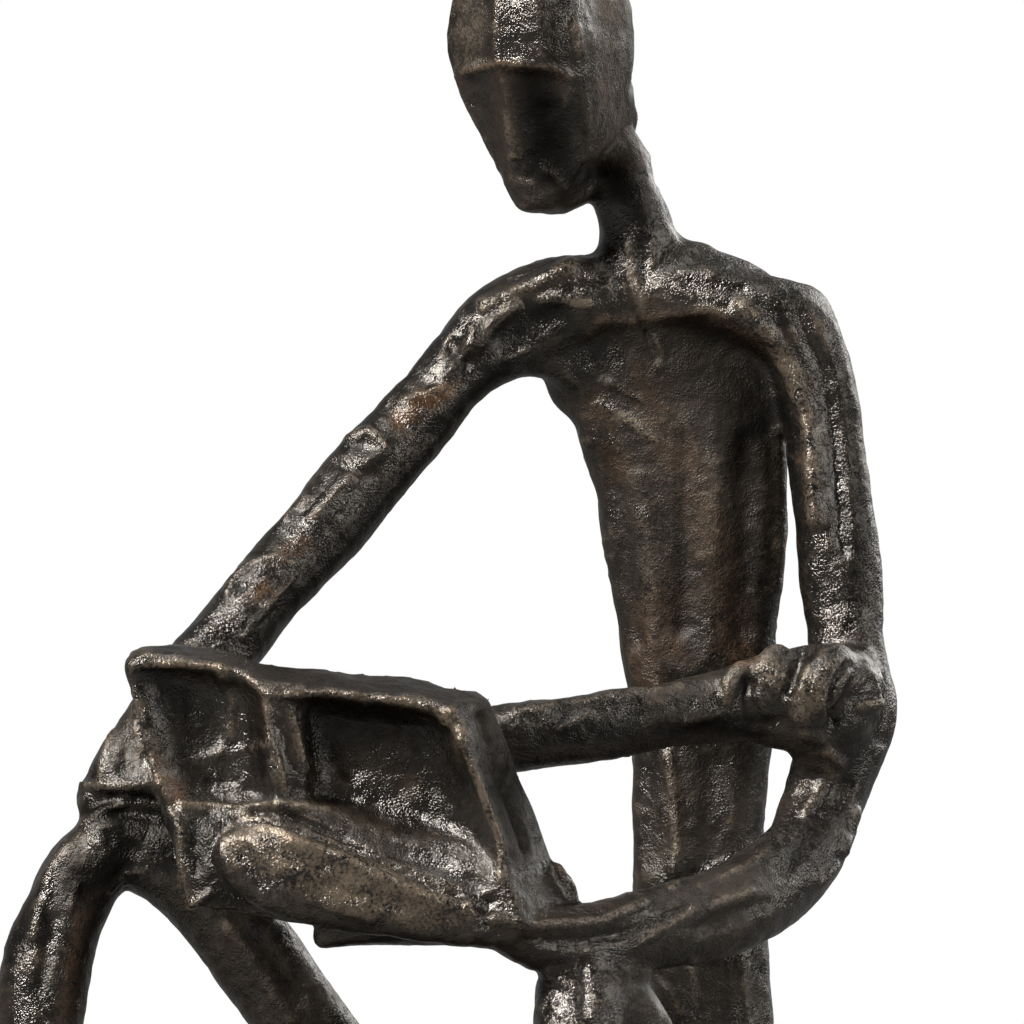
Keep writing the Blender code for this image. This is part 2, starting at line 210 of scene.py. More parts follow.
LEFT_HAND = Rod((
    (14.5, -82, 100.3, 3.8, 4.4), (8, -84, 101, 4.2, 4.4), (0.5, -86, 102.9, 5.2, 4.6),
    (-12.1, -88, 106.9, 7.4, 4.8), (-24.7, -89, 110.4, 8.4, 4.8), (-33.6, -89, 113.9, 7.4, 4.4),
    (-38.9, -88, 116.6, 4.6, 3.8),
), squareness=2.4)
LEFT_PALM = Rod((
    (16, -80, 100.8, 3.4, 4), (2, -74, 100.6, 3.4, 7), (-12, -73, 100, 3.2, 8), (-21, -74, 98.8, 2.6, 5),
), squareness=2.4)
RIGHT_THIGH = Rod((
    (-60, -49, 116.2, 7.8, 8.2), (-49.5, -48, 111.8, 9, 8.6), (-39.2, -45, 101.2, 9.2, 8.8),
    (-25.2, -39, 80.8, 9.2, 9), (-13.2, -32, 62.9, 10.2, 9.6), (4.1, -22, 44, 11.4, 10.6),
    (26, -10, 28.5, 12.6, 12), (47, -1, 19, 14, 13),
))
RIGHT_SHIN = Rod((
    (-61.2, -49.5, 117, 7.8, 8.2), (-67.2, -50, 111, 8, 8.2), (-71.1, -50.5, 104, 8.2, 8),
    (-74, -51, 96.5, 8.9, 8), (-75.9, -52, 87.7, 8.9, 8), (-76.4, -53, 77.9, 8.2, 8),
    (-78.4, -55, 62, 7.4, 7.8),
    (-79.8, -57, 45, 6.6, 7), (-81.3, -58, 27, 5.8, 6.2), (-82, -58, 12, 5.8, 6.6), (-82.2, -58.5, 4, 6, 7),
))
LEFT_THIGH = Rod((
    (63, 0, 18, 13.5, 13), (57, -15, 32.6, 12.2, 11.8), (50.6, -32, 49.4, 11, 10.6),
    (43.6, -48, 66.6, 10.2, 9.6), (37.2, -60, 80.6, 9.8, 9), (32.8, -67, 88, 9, 8.6),
))
LEFT_SHIN = Rod((
    (30, -70, 88.6, 9.2, 8.2), (29.2, -74.5, 80, 8.9, 8.4), (28.8, -78, 67, 8.3, 8.4),
    (28, -81, 50, 7.4, 7.8),
    (26.9, -83, 32, 6.3, 6.8), (26.2, -84, 14, 5.8, 6.6), (26, -84.5, 4, 6.2, 7),
))
RIGHT_FOOT = Rod((
    (-80.4, -51.5, 5, 6, 6.4), (-81.6, -58, 6.4, 6.8, 8), (-84.2, -68, 5.4, 7.2, 6.8),
    (-87.4, -80, 3.6, 8.2, 5.2),
    (-89.8, -90, 2.4, 7, 3.8),
), facing=(0, 0, 1))
LEFT_FOOT = Rod((
    (26.6, -77.5, 5, 6, 6.4), (26, -84, 6.4, 6.8, 8), (24.6, -95, 5.4, 7.2, 6.8), (22.6, -107, 3.6, 8.2, 5.2),
    (21, -118, 2.4, 7, 3.8),
), facing=(0, 0, 1))

HEAD_PLACE = (Matrix.Translation((24.7, -13, 256.8)) @ Matrix.Rotation(math.radians(-27), 4, "Z")
              @ Matrix.Rotation(math.radians(16), 4, "X") @ Matrix.Translation((0, 0, -14)))
HEAD = Rod((
    (0, -10.6, 1.6, 4.4, 4.2), (0, -9.2, 5.4, 6.8, 7), (0, -5.4, 12, 10.6, 12.6), (0, -2.2, 20, 14, 17.2),
    (0, -0.6, 28, 15.9, 19.6), (0, 0.2, 35.6, 16.2, 21), (0, 0.8, 43, 14.9, 19.6), (0, 1, 48.6, 13, 17.2),
    (0, 1.4, 53.2, 10.2, 13.6), (0, 1.8, 56.2, 6.2, 9),
), squareness=2.7, dome_reach=0.28, placed=HEAD_PLACE)
NOSE = Rod(((0, -17.6, 29, 1.2, 1.6), (0, -18.4, 23, 1.6, 2), (0, -17.8, 17, 2.4, 2.2),
            (0, -17, 15, 2.2, 1.8)),
           placed=HEAD_PLACE)
# Cuts that plane the head: two points of its section, the heights between which they work, how far the ends
# droop at the top, and how softly they fade
HEAD_PLANES = (
    ((0, -0.94), (0.88, -0.68), 2.0, 32.4, 4.0, 3.0), ((-0.97, -0.65), (0, -0.94), 2.0, 32.4, 4.0, 3.0),
    ((-0.96, -0.58), (0, -0.965), 33.8, 60.0, 4.0, 2.4), ((0, -0.965), (0.62, -0.865), 33.8, 60.0, 4.0, 2.4),
    ((0.58, -0.875), (0.90, -0.60), 33.8, 60.0, 4.0, 2.4), ((0.965, -0.5), (0.965, 0.5), 8.0, 60.0, 0.0, 4.0),
    ((-0.965, 0.5), (-0.965, -0.5), 8.0, 60.0, 0.0, 4.0),
)
NAPE = Rod(drawn((608, 60, 8, 3.6, 4.5), (614, 90, 7, 4.1, 5), (618, 115, 6, 3.9, 5.6),
                 (625, 138, 5.6, 4.9, 5.8),
                 (631, 161, 5.4, 4.3, 5.4), (638, 187, 5, 3.6, 5)))
NAPE_FILLET = Rod(drawn((625, 112, 6, 2.1, 4), (627, 122, 6, 2.1, 4), (630, 134, 6, 2.1, 4)))
JAW = Rod(drawn((540, 200, 17, 2.8, 4.4), (562, 199, 14, 2.9, 4.8), (584, 188, 11, 2.8, 5),
                (596, 172, 7, 2.8, 5)))
KNEE_CORNER = Rod(drawn((88, 797, 46, 4.2, 6), (112, 801, 46, 4.4, 7)))
BOOK_FOOT = Rod(drawn((553, 870, 67, 1.8, 2.6), (563, 884, 67, 2.2, 2.8), (570, 900, 66, 2, 2.6)))
ARMPIT = Rod(drawn((500, 352, 8, 4, 4.4), (528, 359, 7, 3.6, 4.4), (561, 369, 5, 3.1, 4.6),
                   (585, 394, 3, 3, 4.6),
                   (590, 440, 1, 2.4, 4)))
LEFT_CORNER = Rod(drawn((752, 290, 7, 3.6, 5), (790, 297, 6, 3.6, 5), (813, 304, 5, 3.2, 4.6),
                        (824, 328, 5, 3.4, 5)))

# Columns of the book from its left edge to its right edge: x at the top, x at the bottom, z at the top,
# z at the bottom, depth of the front rim, thickness, hollow, and the share of the height at which it ends
BOOK_COLUMNS = (
    (-59, -46.6, 150.2, 105.4, 80.4, 3.6, 0, 0.57), (-58.2, -45.6, 152, 105, 81.6, 5.2, 0.3, 0.57),
    (-56.4, -44.4, 153.1, 104.7, 82.2, 6.8, 1.4, 0.57), (-53.6, -42.6, 153.5, 104.4, 82.5, 8, 3.4, 0.57),
    (-48, -39, 153.1, 103.9, 82.6, 9.6, 4.6, 0.57), (-42, -34.6, 152, 103.4, 82.7, 11, 4.8, 0.56),
    (-37, -30.6, 150.6, 102.9, 83, 12, 4, 0.55), (-34.2, -28.6, 149, 102.4, 83.6, 13, 2.2, 0.53),
    (-32.2, -26.8, 148, 102, 84.6, 14, 0.2, 0.5), (-29.8, -24.6, 147.6, 101.8, 84.3, 14, 0.9, 0.5),
    (-27.4, -22.6, 147.4, 101.5, 84, 14, 1.3, 0.5), (-25.6, -20.8, 147.3, 101.2, 83.8, 14, 1.8, 0.5),
    (-23.4, -19, 147.2, 101, 83.4, 14, 5.2, 0.5), (-20, -15.6, 146.9, 100.8, 83, 14, 7, 0.52),
    (-12, -7.4, 146, 100.2, 83, 14, 7.8, 0.56), (-3, 5.4, 145.2, 99.4, 83, 14, 7, 0.6),
    (1.6, 13.6, 144.4, 98.6, 83.5, 14, 4.6, 0.62), (4.2, 17.8, 143.6, 98.2, 84, 14, 1, 0.62),
    (5.6, 20, 143.4, 98, 84.2, 14, 0, 0.62), (8.2, 23.1, 143.7, 97.4, 79.6, 12.2, 0, 0.6),
    (10.8, 26.8, 143.8, 97, 74, 9.8, 0, 0.6), (12.8, 30.5, 143.2, 97, 68.5, 6, 0, 0.6),
)
BOOK_TOP_SLOPE = 4.4

# In each tool mark the last value is rubbed wear, which in places also stands for a painted highlight
HEAD_MARKS = tool_marks(
    (Ink.ROLL, ((456, 77), (476, 70), (498, 63), (535, 66), (556, 72), (576, 78)), 6, 0.2, 0.2),
    (Ink.ROLL, ((577, 26), (580, 56), (583, 92), (588, 130)), 8, 0.3, 0.25),
    (Ink.ROLL, ((497, 0), (495, 40), (497, 62)), 8, 0.15, 0.05),
    (Ink.DIMPLE, ((548, 116), (550, 150)), 24, 0.8),
    (Ink.DIMPLE, ((480, 100), (496, 148)), 13, 0.5),
    (Ink.RIDGE, ((506, 114), (509, 132), (513, 156)), 8, 0.5, 0.05),
    (Ink.ROLL, ((606, 6), (603, 60), (606, 150)), 26, 0.05, 0.35),
    (Ink.ROLL, ((470, 12), (464, 56)), 20, 0.05, 0.3),
    (Ink.ROLL, ((513, 158), (515, 166)), 7, 0.3, 0.5),
    (Ink.ROLL, ((521, 162), (527, 170)), 8, 0.6),
    (Ink.GROOVE, ((521, 118), (527, 156)), 7, 0.35),
    (Ink.ROLL, ((513, 178), (522, 181), (530, 183)), 7, 0.3, 0.2),
    (Ink.ROLL, ((546, 169), (556, 179), (565, 187)), 6, 0.3, 0.2),
    (Ink.GROOVE, ((531, 171), (546, 187)), 6, 0.2),
    (Ink.DIMPLE, ((594, 22), (612, 36)), 11, 0.2),
)
SHOULDER_MARKS = tool_marks(
    (Ink.RIDGE, ((628, 247), (632, 270), (640, 294), (643, 310)), 7, 0.35, 0.4),
    (Ink.ROLL, ((652, 242), (653, 264)), 6, 0.25, 0.2),
    (Ink.GROOVE, ((641, 243), (647, 284)), 5, 0.3),
    (Ink.GROOVE, ((612, 250), (618, 290)), 7, 0.4),
    (Ink.GROOVE, ((638, 318), (648, 338), (658, 358)), 6, 0.7),
    (Ink.ROLL, ((655, 340), (661, 364)), 7, 0.35, 0.25),
    (Ink.ROLL, ((590, 332), (602, 322), (656, 318), (712, 309), (738, 318), (760, 342), (782, 368),
                (796, 400)), 9, 0.3, 0.2),
    (Ink.GROOVE, ((592, 345), (606, 332), (656, 330), (712, 320), (734, 331), (753, 355), (771, 384)),
     12, 0.12),
    (Ink.DIMPLE, ((600, 352), (650, 346), (704, 338), (738, 354), (762, 390), (772, 430)), 26, 0.35),
    (Ink.ROLL, ((742, 306), (770, 336), (792, 370), (803, 400), (809, 431), (812, 470), (815, 520)),
     13, 1.1, 0.5),
    (Ink.DIMPLE, ((800, 318), (822, 366), (832, 420), (836, 470), (842, 550)), 14, 0.9),
    (Ink.ROLL, ((484, 306), (530, 286), (572, 266)), 12, 0.9, 0.25),
    (Ink.DIMPLE, ((508, 340), (532, 324), (556, 318)), 23, 0.9),
    (Ink.ROLL, ((476, 346), (492, 324), (514, 307)), 11, 0.7, 0.4),
    (Ink.ROLL, ((541, 298), (562, 300), (587, 304)), 8, 0.5, 0.3),
    (Ink.RIDGE, ((506, 358), (528, 349)), 5, 0.5),
    (Ink.DIMPLE, ((690, 282), (742, 292)), 12, 0.5),
)
TORSO_MARKS = tool_marks(
    (Ink.RIDGE, ((600, 404), (628, 420), (656, 440)), 8, 0.4, 0.4),
    (Ink.RIDGE, ((604, 380), (640, 399)), 6, 0.3, 0.3),
    (Ink.ROLL, ((640, 480), (650, 560), (656, 640)), 18, 0.5, 0.15),
    (Ink.DIMPLE, ((612, 460), (624, 540), (636, 640)), 14, 0.5),
    (Ink.ROLL, ((716, 460), (712, 560), (708, 650)), 18, 0.5, 0.1),
    (Ink.DIMPLE, ((684, 440), (684, 540), (682, 630)), 14, 0.5),
    (Ink.DIMPLE, ((748, 440), (746, 540), (742, 640)), 18, 0.6),
    (Ink.ROLL, ((778, 430), (782, 500), (777, 590)), 9, 0.5, 0.2),
    (Ink.ROLL, ((668, 756), (675, 800), (677, 850), (673, 884)), 9, 0.8, 0.4),
    (Ink.DIMPLE, ((648, 770), (652, 860)), 16, 0.5),
    (Ink.DIMPLE, ((712, 770), (712, 880)), 22, 0.6),
    (Ink.RIDGE, ((692, 960), (694, 1023)), 7, 0.4, 0.2),
    (Ink.RIDGE, ((742, 960), (748, 1023)), 7, 0.4, 0.2),
)
ARM_MARKS = tool_marks(
    (Ink.DIMPLE, ((452, 346), (464, 364)), 12, 0.8),
    (Ink.ROLL, ((474, 330), (464, 352), (450, 372)), 8, 0.7, 0.1),
    (Ink.DIMPLE, ((426, 380),), 16, 0.6),
    (Ink.RIDGE, ((404, 400), (438, 388), (450, 396)), 7, 0.5, 0.2),
    (Ink.ROLL, ((348, 438), (370, 431), (386, 446)), 9, 0.7, 0.3),
    (Ink.DIMPLE, ((362, 447),), 10, 0.5),
    (Ink.ROLL, ((366, 463), (386, 452)), 8, 0.5),
    (Ink.GROOVE, ((336, 462), (356, 474), (376, 474)), 8, 0.5),
    (Ink.ROLL, ((314, 518), (334, 496), (352, 478)), 12, 0.7),
    (Ink.ROLL, ((284, 518), (306, 498)), 8, 0.5, 0.1),
    (Ink.DIMPLE, ((284, 536),), 14, 0.5),
    (Ink.RIDGE, ((252, 562), (276, 556), (298, 566)), 7, 0.5, 0.2),
    (Ink.ROLL, ((227, 594), (232, 578), (246, 566)), 7, 0.5, 0.2),
    (Ink.DIMPLE, ((243, 586),), 10, 0.4),
    (Ink.DIMPLE, ((392, 412), (404, 424)), 12, 0.5),
    (Ink.DIMPLE, ((438, 424), (402, 462), (350, 520), (300, 572)), 11, 0.5),
    (Ink.RIDGE, ((424, 437), (394, 471), (363, 508), (342, 527), (277, 596), (243, 637)), 4, 0.45, 0.3),
    (Ink.ROLL, ((515, 712), (560, 704), (620, 695), (680, 688)), 9, 0.4, 0.1),
    (Ink.RIDGE, ((560, 729), (594, 712)), 6, 0.5),
    (Ink.DIMPLE, ((630, 718), (690, 706)), 12, 0.5),
    (Ink.ROLL, ((688, 722), (716, 714)), 8, 0.5),
)
GRIP_MARKS = tool_marks(
    (Ink.GROOVE, ((748, 682), (743, 698), (746, 714)), 12, 0.8),
    (Ink.GROOVE, ((802, 650), (796, 668), (788, 690)), 9, 1.1),
    (Ink.GROOVE, ((846, 665), (835, 686), (832, 704), (834, 720)), 7, 1.2),
    (Ink.GROOVE, ((852, 698), (880, 695)), 5, 0.7),
    (Ink.ROLL, ((762, 662), (780, 678)), 15, 0.2, 0.7),
    # A wide, low roll whose worn value paints the big finger's highlight
    (Ink.ROLL, ((812, 690), (804, 710)), 17, 0.1, 0.6),
    (Ink.ROLL, ((808, 668), (800, 690)), 8, 0.3, 0.6),
    (Ink.ROLL, ((820, 746), (836, 770)), 13, 0.2, 0.55),
    (Ink.ROLL, ((802, 736), (822, 738)), 8, 0.3, 0.4),
    (Ink.RIDGE, ((855, 707), (880, 704)), 6, 0.6, 0.8),
    (Ink.ROLL, ((728, 684), (726, 702)), 8, 0.4, 0.5),
    (Ink.ROLL, ((838, 664), (820, 676)), 10, 0.2, 0.5),
    (Ink.RIDGE, ((856, 683), (874, 673)), 5, 0.4, 0.2),
    (Ink.GROOVE, ((738, 722), (780, 722)), 8, 0.4),
    (Ink.DIMPLE, ((878, 722), (882, 738)), 12, 0.5),
    (Ink.ROLL, ((828, 752), (842, 764)), 9, 0.5),
    (Ink.DIMPLE, ((846, 786), (838, 806)), 12, 0.6),
    (Ink.ROLL, ((820, 786), (806, 812)), 10, 0.5),
    (Ink.ROLL, ((856, 812), (856, 830), (846, 852)), 8, 0.7),
    (Ink.ROLL, ((836, 866), (824, 882)), 8, 0.5, 0.2),
    (Ink.DIMPLE, ((800, 848), (782, 868)), 14, 0.5),
    (Ink.RIDGE, ((700, 884), (738, 870), (770, 850)), 6, 0.4, 0.1),
    (Ink.ROLL, ((491, 918), (534, 926), (599, 922), (642, 905)), 9, 0.9, 0.1),
    (Ink.GROOVE, ((520, 940), (580, 943), (632, 931), (684, 910)), 9, 0.7),
    (Ink.RIDGE, ((632, 948), (663, 927), (696, 909)), 6, 0.5, 0.2),
    (Ink.ROLL, ((710, 906), (750, 892)), 9, 0.6, 0.3),
    (Ink.DIMPLE, ((700, 928), (764, 904)), 12, 0.5),
)
BOOK_MARKS = tool_marks(
    # The rim ridges' worn values follow where the rims catch highlights: wear and painted highlight together
    (Ink.RIDGE, ((133, 666), (176, 664), (220, 667)), 6, 0.5, 0.75),
    (Ink.RIDGE, ((220, 667), (246, 674), (262, 690)), 6, 0.3, 0.3),
    (Ink.RIDGE, ((266, 694), (290, 695)), 6, 0.4, 0.45),
    (Ink.RIDGE, ((290, 695), (322, 693), (354, 695)), 6, 0.5, 0.85),
    (Ink.RIDGE, ((354, 695), (366, 699), (386, 699)), 6, 0.3, 0.3),
    (Ink.RIDGE, ((386, 699), (418, 705), (438, 714), (449, 722)), 7, 0.5, 0.75),
    (Ink.ROLL, ((446, 716), (458, 728), (462, 742)), 11, 0.6, 0.9),
    (Ink.RIDGE, ((462, 738), (469, 759), (480, 784), (489, 811), (499, 835), (503, 851), (500, 880)),
     6, 0.6, 0.7),
    (Ink.RIDGE, ((133, 690), (139, 735), (157, 776), (179, 829), (180, 862), (184, 890), (192, 906)),
     6, 0.5, 0.5),
    (Ink.RIDGE, ((266, 698), (270, 737), (280, 769), (285, 790)), 5, 0.5, 0.75),
    (Ink.RIDGE, ((276, 700), (289, 706), (298, 737), (307, 770)), 5, 0.35, 0.5),
    (Ink.DIMPLE, ((280, 726), (290, 764)), 9, 0.35),
    (Ink.ROLL, ((222, 674), (233, 700), (231, 735), (218, 754)), 9, 0.5, 0.15),
    (Ink.ROLL, ((198, 758), (238, 752), (268, 744)), 9, 0.4, 0.1),
    (Ink.RIDGE, ((178, 804), (209, 805), (232, 808)), 5, 0.5, 0.6),
    (Ink.RIDGE, ((232, 809), (256, 806), (286, 803), (327, 811)), 6, 0.5, 0.35),
    (Ink.ROLL, ((327, 811), (367, 824), (407, 838), (463, 847)), 10, 0.3, 0.1),
    (Ink.DIMPLE, ((250, 792), (300, 792), (350, 798)), 12, 0.4),
    (Ink.DIMPLE, ((395, 852), (440, 866), (476, 884)), 13, 0.7),
    (Ink.ROLL, ((192, 906), (212, 892)), 6, 0.5, 0.2),
    (Ink.DIMPLE, ((196, 826), (196, 870)), 10, 0.5),
    (Ink.GROOVE, ((480, 716), (492, 760), (510, 808), (524, 850)), 8, 0.5),
    (Ink.ROLL, ((556, 862), (562, 876)), 7, 0.6),
    (Ink.DIMPLE, ((340, 740), (352, 768)), 20, 0.5),
    (Ink.ROLL, ((404, 720), (412, 770), (420, 800)), 14, 0.4),
)
HAND_MARKS = tool_marks(
    (Ink.ROLL, ((246, 819), (275, 831), (304, 847), (341, 859), (374, 875), (423, 897), (464, 908)),
     11, 1.0, 0.95),
    (Ink.GROOVE, ((222, 828), (262, 811), (300, 820), (338, 836), (370, 860), (410, 882), (456, 896)),
     7, 0.9),
    (Ink.ROLL, ((466, 911), (472, 916)), 9, 0.9, 0.9),
    (Ink.GROOVE, ((489, 900), (487, 924)), 6, 0.9),
    (Ink.DIMPLE, ((244, 852), (262, 878)), 14, 0.5),
    (Ink.ROLL, ((222, 846), (230, 868)), 8, 0.3, 0.1),
    # Wide, low rolls whose worn value mostly paints the hand's highlight
    (Ink.ROLL, ((240, 846), (280, 862)), 26, 0.1, 0.85),
    (Ink.ROLL, ((330, 880), (400, 898)), 26, 0.1, 0.95),
    (Ink.ROLL, ((280, 862), (440, 908)), 32, 0.1, 0.65),
    (Ink.DIMPLE, ((330, 884), (400, 906)), 12, 0.4),
    (Ink.ROLL, ((310, 900), (370, 918)), 9, 0.4),
)
LEG_MARKS = tool_marks(
    (Ink.RIDGE, ((112, 729), (102, 765), (100, 792)), 6, 0.6, 0.2),
    (Ink.RIDGE, ((79, 785), (109, 786), (159, 784)), 7, 0.8, 0.2),
    (Ink.GROOVE, ((112, 798), (146, 800), (174, 806)), 8, 1.0),
    (Ink.ROLL, ((83, 824), (102, 812), (125, 801)), 8, 0.7),
    (Ink.DIMPLE, ((90, 762), (90, 774)), 10, 0.6),
    (Ink.DIMPLE, ((130, 740), (124, 768)), 12, 0.6),
    (Ink.ROLL, ((68, 846), (46, 880), (32, 934)), 11, 0.6),
    (Ink.RIDGE, ((77, 884), (70, 908)), 6, 0.5),
    (Ink.RIDGE, ((108, 892), (128, 873), (146, 870)), 4, 0.5, 0.3),
    (Ink.DIMPLE, ((112, 838), (134, 852)), 14, 0.6),
    (Ink.DIMPLE, ((54, 920), (40, 990)), 11, 0.5),
    (Ink.ROLL, ((228, 926), (262, 976), (292, 1020)), 12, 0.4),
    (Ink.DIMPLE, ((262, 940), (300, 996)), 12, 0.4),
    (Ink.ROLL, ((550, 975), (576, 987)), 12, 0.7, 0.1),
    (Ink.GROOVE, ((583, 962), (584, 1012)), 7, 0.8),
    (Ink.RIDGE, ((646, 972), (668, 990), (680, 1012)), 6, 0.6, 0.4),
)
MARKS = (*HEAD_MARKS, *SHOULDER_MARKS, *TORSO_MARKS, *ARM_MARKS, *GRIP_MARKS, *BOOK_MARKS, *HAND_MARKS,
         *LEG_MARKS)
# Marks on the far side, drawn where they would appear if the picture showed through the figure
BACK_MARKS = tool_marks(
    (Ink.DIMPLE, ((652, 262), (660, 340), (672, 480), (676, 620), (672, 780), (674, 960)), 27, 1.1),
    (Ink.ROLL, ((586, 322), (606, 372), (622, 430)), 43, 1.2, 0.15),
    (Ink.ROLL, ((770, 318), (752, 372), (732, 430)), 47, 1.2, 0.15),
    (Ink.DIMPLE, ((560, 312), (640, 290), (700, 288), (770, 300)), 29, 0.6),
    (Ink.ROLL, ((640, 470), (648, 600), (644, 760)), 31, 0.8, 0.1),
    (Ink.ROLL, ((710, 460), (706, 600), (704, 760)), 31, 0.8, 0.1),
    (Ink.DIMPLE, ((618, 500), (622, 640)), 25, 0.7),
    (Ink.DIMPLE, ((744, 470), (738, 640)), 29, 0.8),
    (Ink.ROLL, ((640, 900), (650, 1040), (640, 1180)), 40, 0.7, 0.1),
    (Ink.ROLL, ((712, 900), (712, 1040), (716, 1180)), 40, 0.7, 0.1),
    (Ink.DIMPLE, ((604, 24), (620, 60), (622, 120)), 25, 0.4),
    (Ink.ROLL, ((560, 20), (566, 90), (576, 150)), 36, 0.5, 0.15),
    (Ink.DIMPLE, ((190, 700), (226, 780)), 54, 0.7),
    (Ink.DIMPLE, ((366, 720), (400, 800)), 65, 0.9),
    (Ink.ROLL, ((440, 400), (380, 470), (310, 550)), 20, 0.6, 0.25),
    (Ink.DIMPLE, ((480, 356), (420, 430)), 18, 0.5),
    (Ink.ROLL, ((826, 340), (834, 430), (830, 540)), 20, 0.6, 0.25),
    (Ink.GROOVE, ((812, 560), (820, 640), (838, 700)), 7, 0.7),
    (Ink.ROLL, ((250, 930), (330, 1040), (400, 1130)), 23, 0.6, 0.2),
    (Ink.DIMPLE, ((300, 960), (380, 1060)), 22, 0.5),
    (Ink.ROLL, ((60, 900), (40, 1040), (40, 1180)), 18, 0.5, 0.2),
)
# Strokes of the patina brush: dryness and rust are the iron's own colour, and the shade strokes paint black where
# the figure falls into shadow
BRUSH_MARKS = brush_marks(
    (Tint.DRY, ((680, 400), (690, 620)), 120, 0.9),
    (Tint.DRY, ((700, 760), (705, 1010)), 90, 0.8),
    (Tint.DRY, ((200, 720), (215, 770)), 60, 0.5),
    (Tint.DRY, ((350, 745), (440, 800)), 70, 0.25),
    (Tint.DRY, ((616, 20), (616, 150)), 40, 1.0),
    (Tint.DRY, ((468, 10), (466, 60)), 30, 0.9),
    (Tint.DRY, ((92, 700), (136, 756)), 40, 0.8),
    (Tint.RUST, ((500, 80), (508, 160)), 14, 0.12),
    (Tint.PAINTED_SHADE, ((532, 84), (544, 120), (550, 165)), 26, 0.9),
    (Tint.PAINTED_SHADE, ((606, 172), (622, 188)), 22, 1.0),
    (Tint.PAINTED_SHADE, ((626, 158), (638, 190), (646, 222)), 14, 0.6),
    (Tint.PAINTED_SHADE, ((538, 10), (556, 60)), 15, 0.5),
    (Tint.PAINTED_SHADE, ((102, 812), (132, 836), (112, 866), (82, 880)), 26, 0.9),
    (Tint.PAINTED_SHADE, ((150, 800), (160, 850)), 22, 0.8),
    (Tint.PAINTED_SHADE, ((200, 830), (204, 880), (230, 900)), 24, 0.7),
    (Tint.PAINTED_SHADE, ((325, 715), (400, 735), (440, 790)), 42, 0.45),
    (Tint.PAINTED_SHADE, ((488, 715), (505, 790), (520, 850)), 18, 0.9),
    (Tint.PAINTED_SHADE, ((160, 690), (200, 730)), 24, 0.5),
    (Tint.PAINTED_SHADE, ((620, 360), (700, 350), (744, 400), (752, 450)), 40, 0.55),
    (Tint.PAINTED_SHADE, ((500, 330), (552, 318)), 24, 0.7),
    (Tint.PAINTED_SHADE, ((540, 740), (600, 732)), 16, 0.5),
    (Tint.PAINTED_SHADE, ((110, 880), (94, 950), (82, 1020)), 20, 0.65),
    (Tint.PAINTED_SHADE, ((500, 374), (440, 434), (380, 502), (320, 568), (258, 638)), 17, 0.8),
    (Tint.PAINTED_SHADE, ((462, 366), (488, 344)), 15, 0.7),
    (Tint.PAINTED_SHADE, ((432, 352), (384, 412), (318, 488), (226, 596)), 10, 0.55),
    (Tint.PAINTED_SHADE, ((392, 440), (374, 462)), 10, 0.6),
    (Tint.PAINTED_SHADE, ((330, 520), (300, 548)), 9, 0.5),
    (Tint.PAINTED_SHADE, ((508, 742), (600, 730), (700, 722), (764, 724)), 15, 0.8),
    (Tint.PAINTED_SHADE, ((560, 704), (600, 700)), 10, 0.4),
    (Tint.PAINTED_SHADE, ((846, 380), (858, 480), (857, 600)), 14, 0.6),
    (Tint.PAINTED_SHADE, ((800, 860), (842, 800), (850, 740)), 16, 0.5),
    (Tint.PAINTED_SHADE, ((30, 900), (14, 960)), 12, 0.5),
    (Tint.PAINTED_SHADE, ((624, 384), (676, 374), (720, 392)), 30, 0.4),
    (Tint.PAINTED_SHADE, ((676, 250), (720, 268), (800, 300)), 10, 0.4),
    (Tint.PAINTED_SHADE, ((740, 850), (690, 874), (640, 890)), 12, 0.4),
    (Tint.RUST, ((462, 76), (498, 66), (560, 76)), 8, 0.5),
    (Tint.DRY, ((250, 800), (330, 816), (480, 866)), 36, 0.55),
    (Tint.DRY, ((262, 850), (420, 910)), 26, 0.3),
    (Tint.DRY, ((480, 100), (520, 190)), 30, 0.35),
    (Tint.DRY, ((76, 860), (56, 1010)), 30, 0.6),
    (Tint.DRY, ((230, 950), (300, 1020)), 60, 0.6),
    (Tint.RUST, ((426, 400), (448, 390)), 14, 0.7),
    (Tint.RUST, ((398, 418), (412, 410)), 11, 0.7),
    (Tint.RUST, ((288, 552), (306, 544)), 11, 0.7),
    (Tint.RUST, ((254, 596), (262, 588)), 9, 0.8),
    (Tint.RUST, ((728, 648), (748, 656)), 16, 0.6),
    (Tint.RUST, ((92, 900), (72, 1010)), 16, 0.5),
    (Tint.RUST, ((404, 784), (428, 794)), 16, 0.25),
    (Tint.RUST, ((155, 765), (176, 792)), 13, 0.6),
    (Tint.RUST, ((660, 600), (650, 660)), 30, 0.35),
    (Tint.RUST, ((640, 380), (680, 460), (720, 560), (735, 640)), 26, 0.3),
    (Tint.RUST, ((600, 400), (620, 470)), 16, 0.3),
    (Tint.RUST, ((600, 322), (720, 316), (764, 352)), 9, 0.35),
)
# Parts of the picture whose creases stay crisp
CRISP_AREAS = ((118, 636, 600, 960), (712, 630, 848, 745))


def curve_through(stations: tuple, steps: int) -> list:
    """Eases every value of the stations along a smooth curve.

    Args:
        stations: rows of numbers, in order.
        steps: how many rows to make from each station to the next.

    Returns:
        The eased rows, ends included.
    """
    ends = [stations[0], *stations, stations[-1]]
    eased = []
    for before, here, there, after in zip(ends, ends[1:], ends[2:], ends[3:]):
        for step in range(steps):
            t = step / steps
            eased.append([
                0.5 * (2 * b + (c - a) * t + (2 * a - 5 * b + 4 * c - d) * t ** 2
                       + (3 * b - a - 3 * c + d) * t ** 3)
                for a, b, c, d in zip(before, here, there, after)
            ])
    eased.append(list(stations[-1]))
    return eased


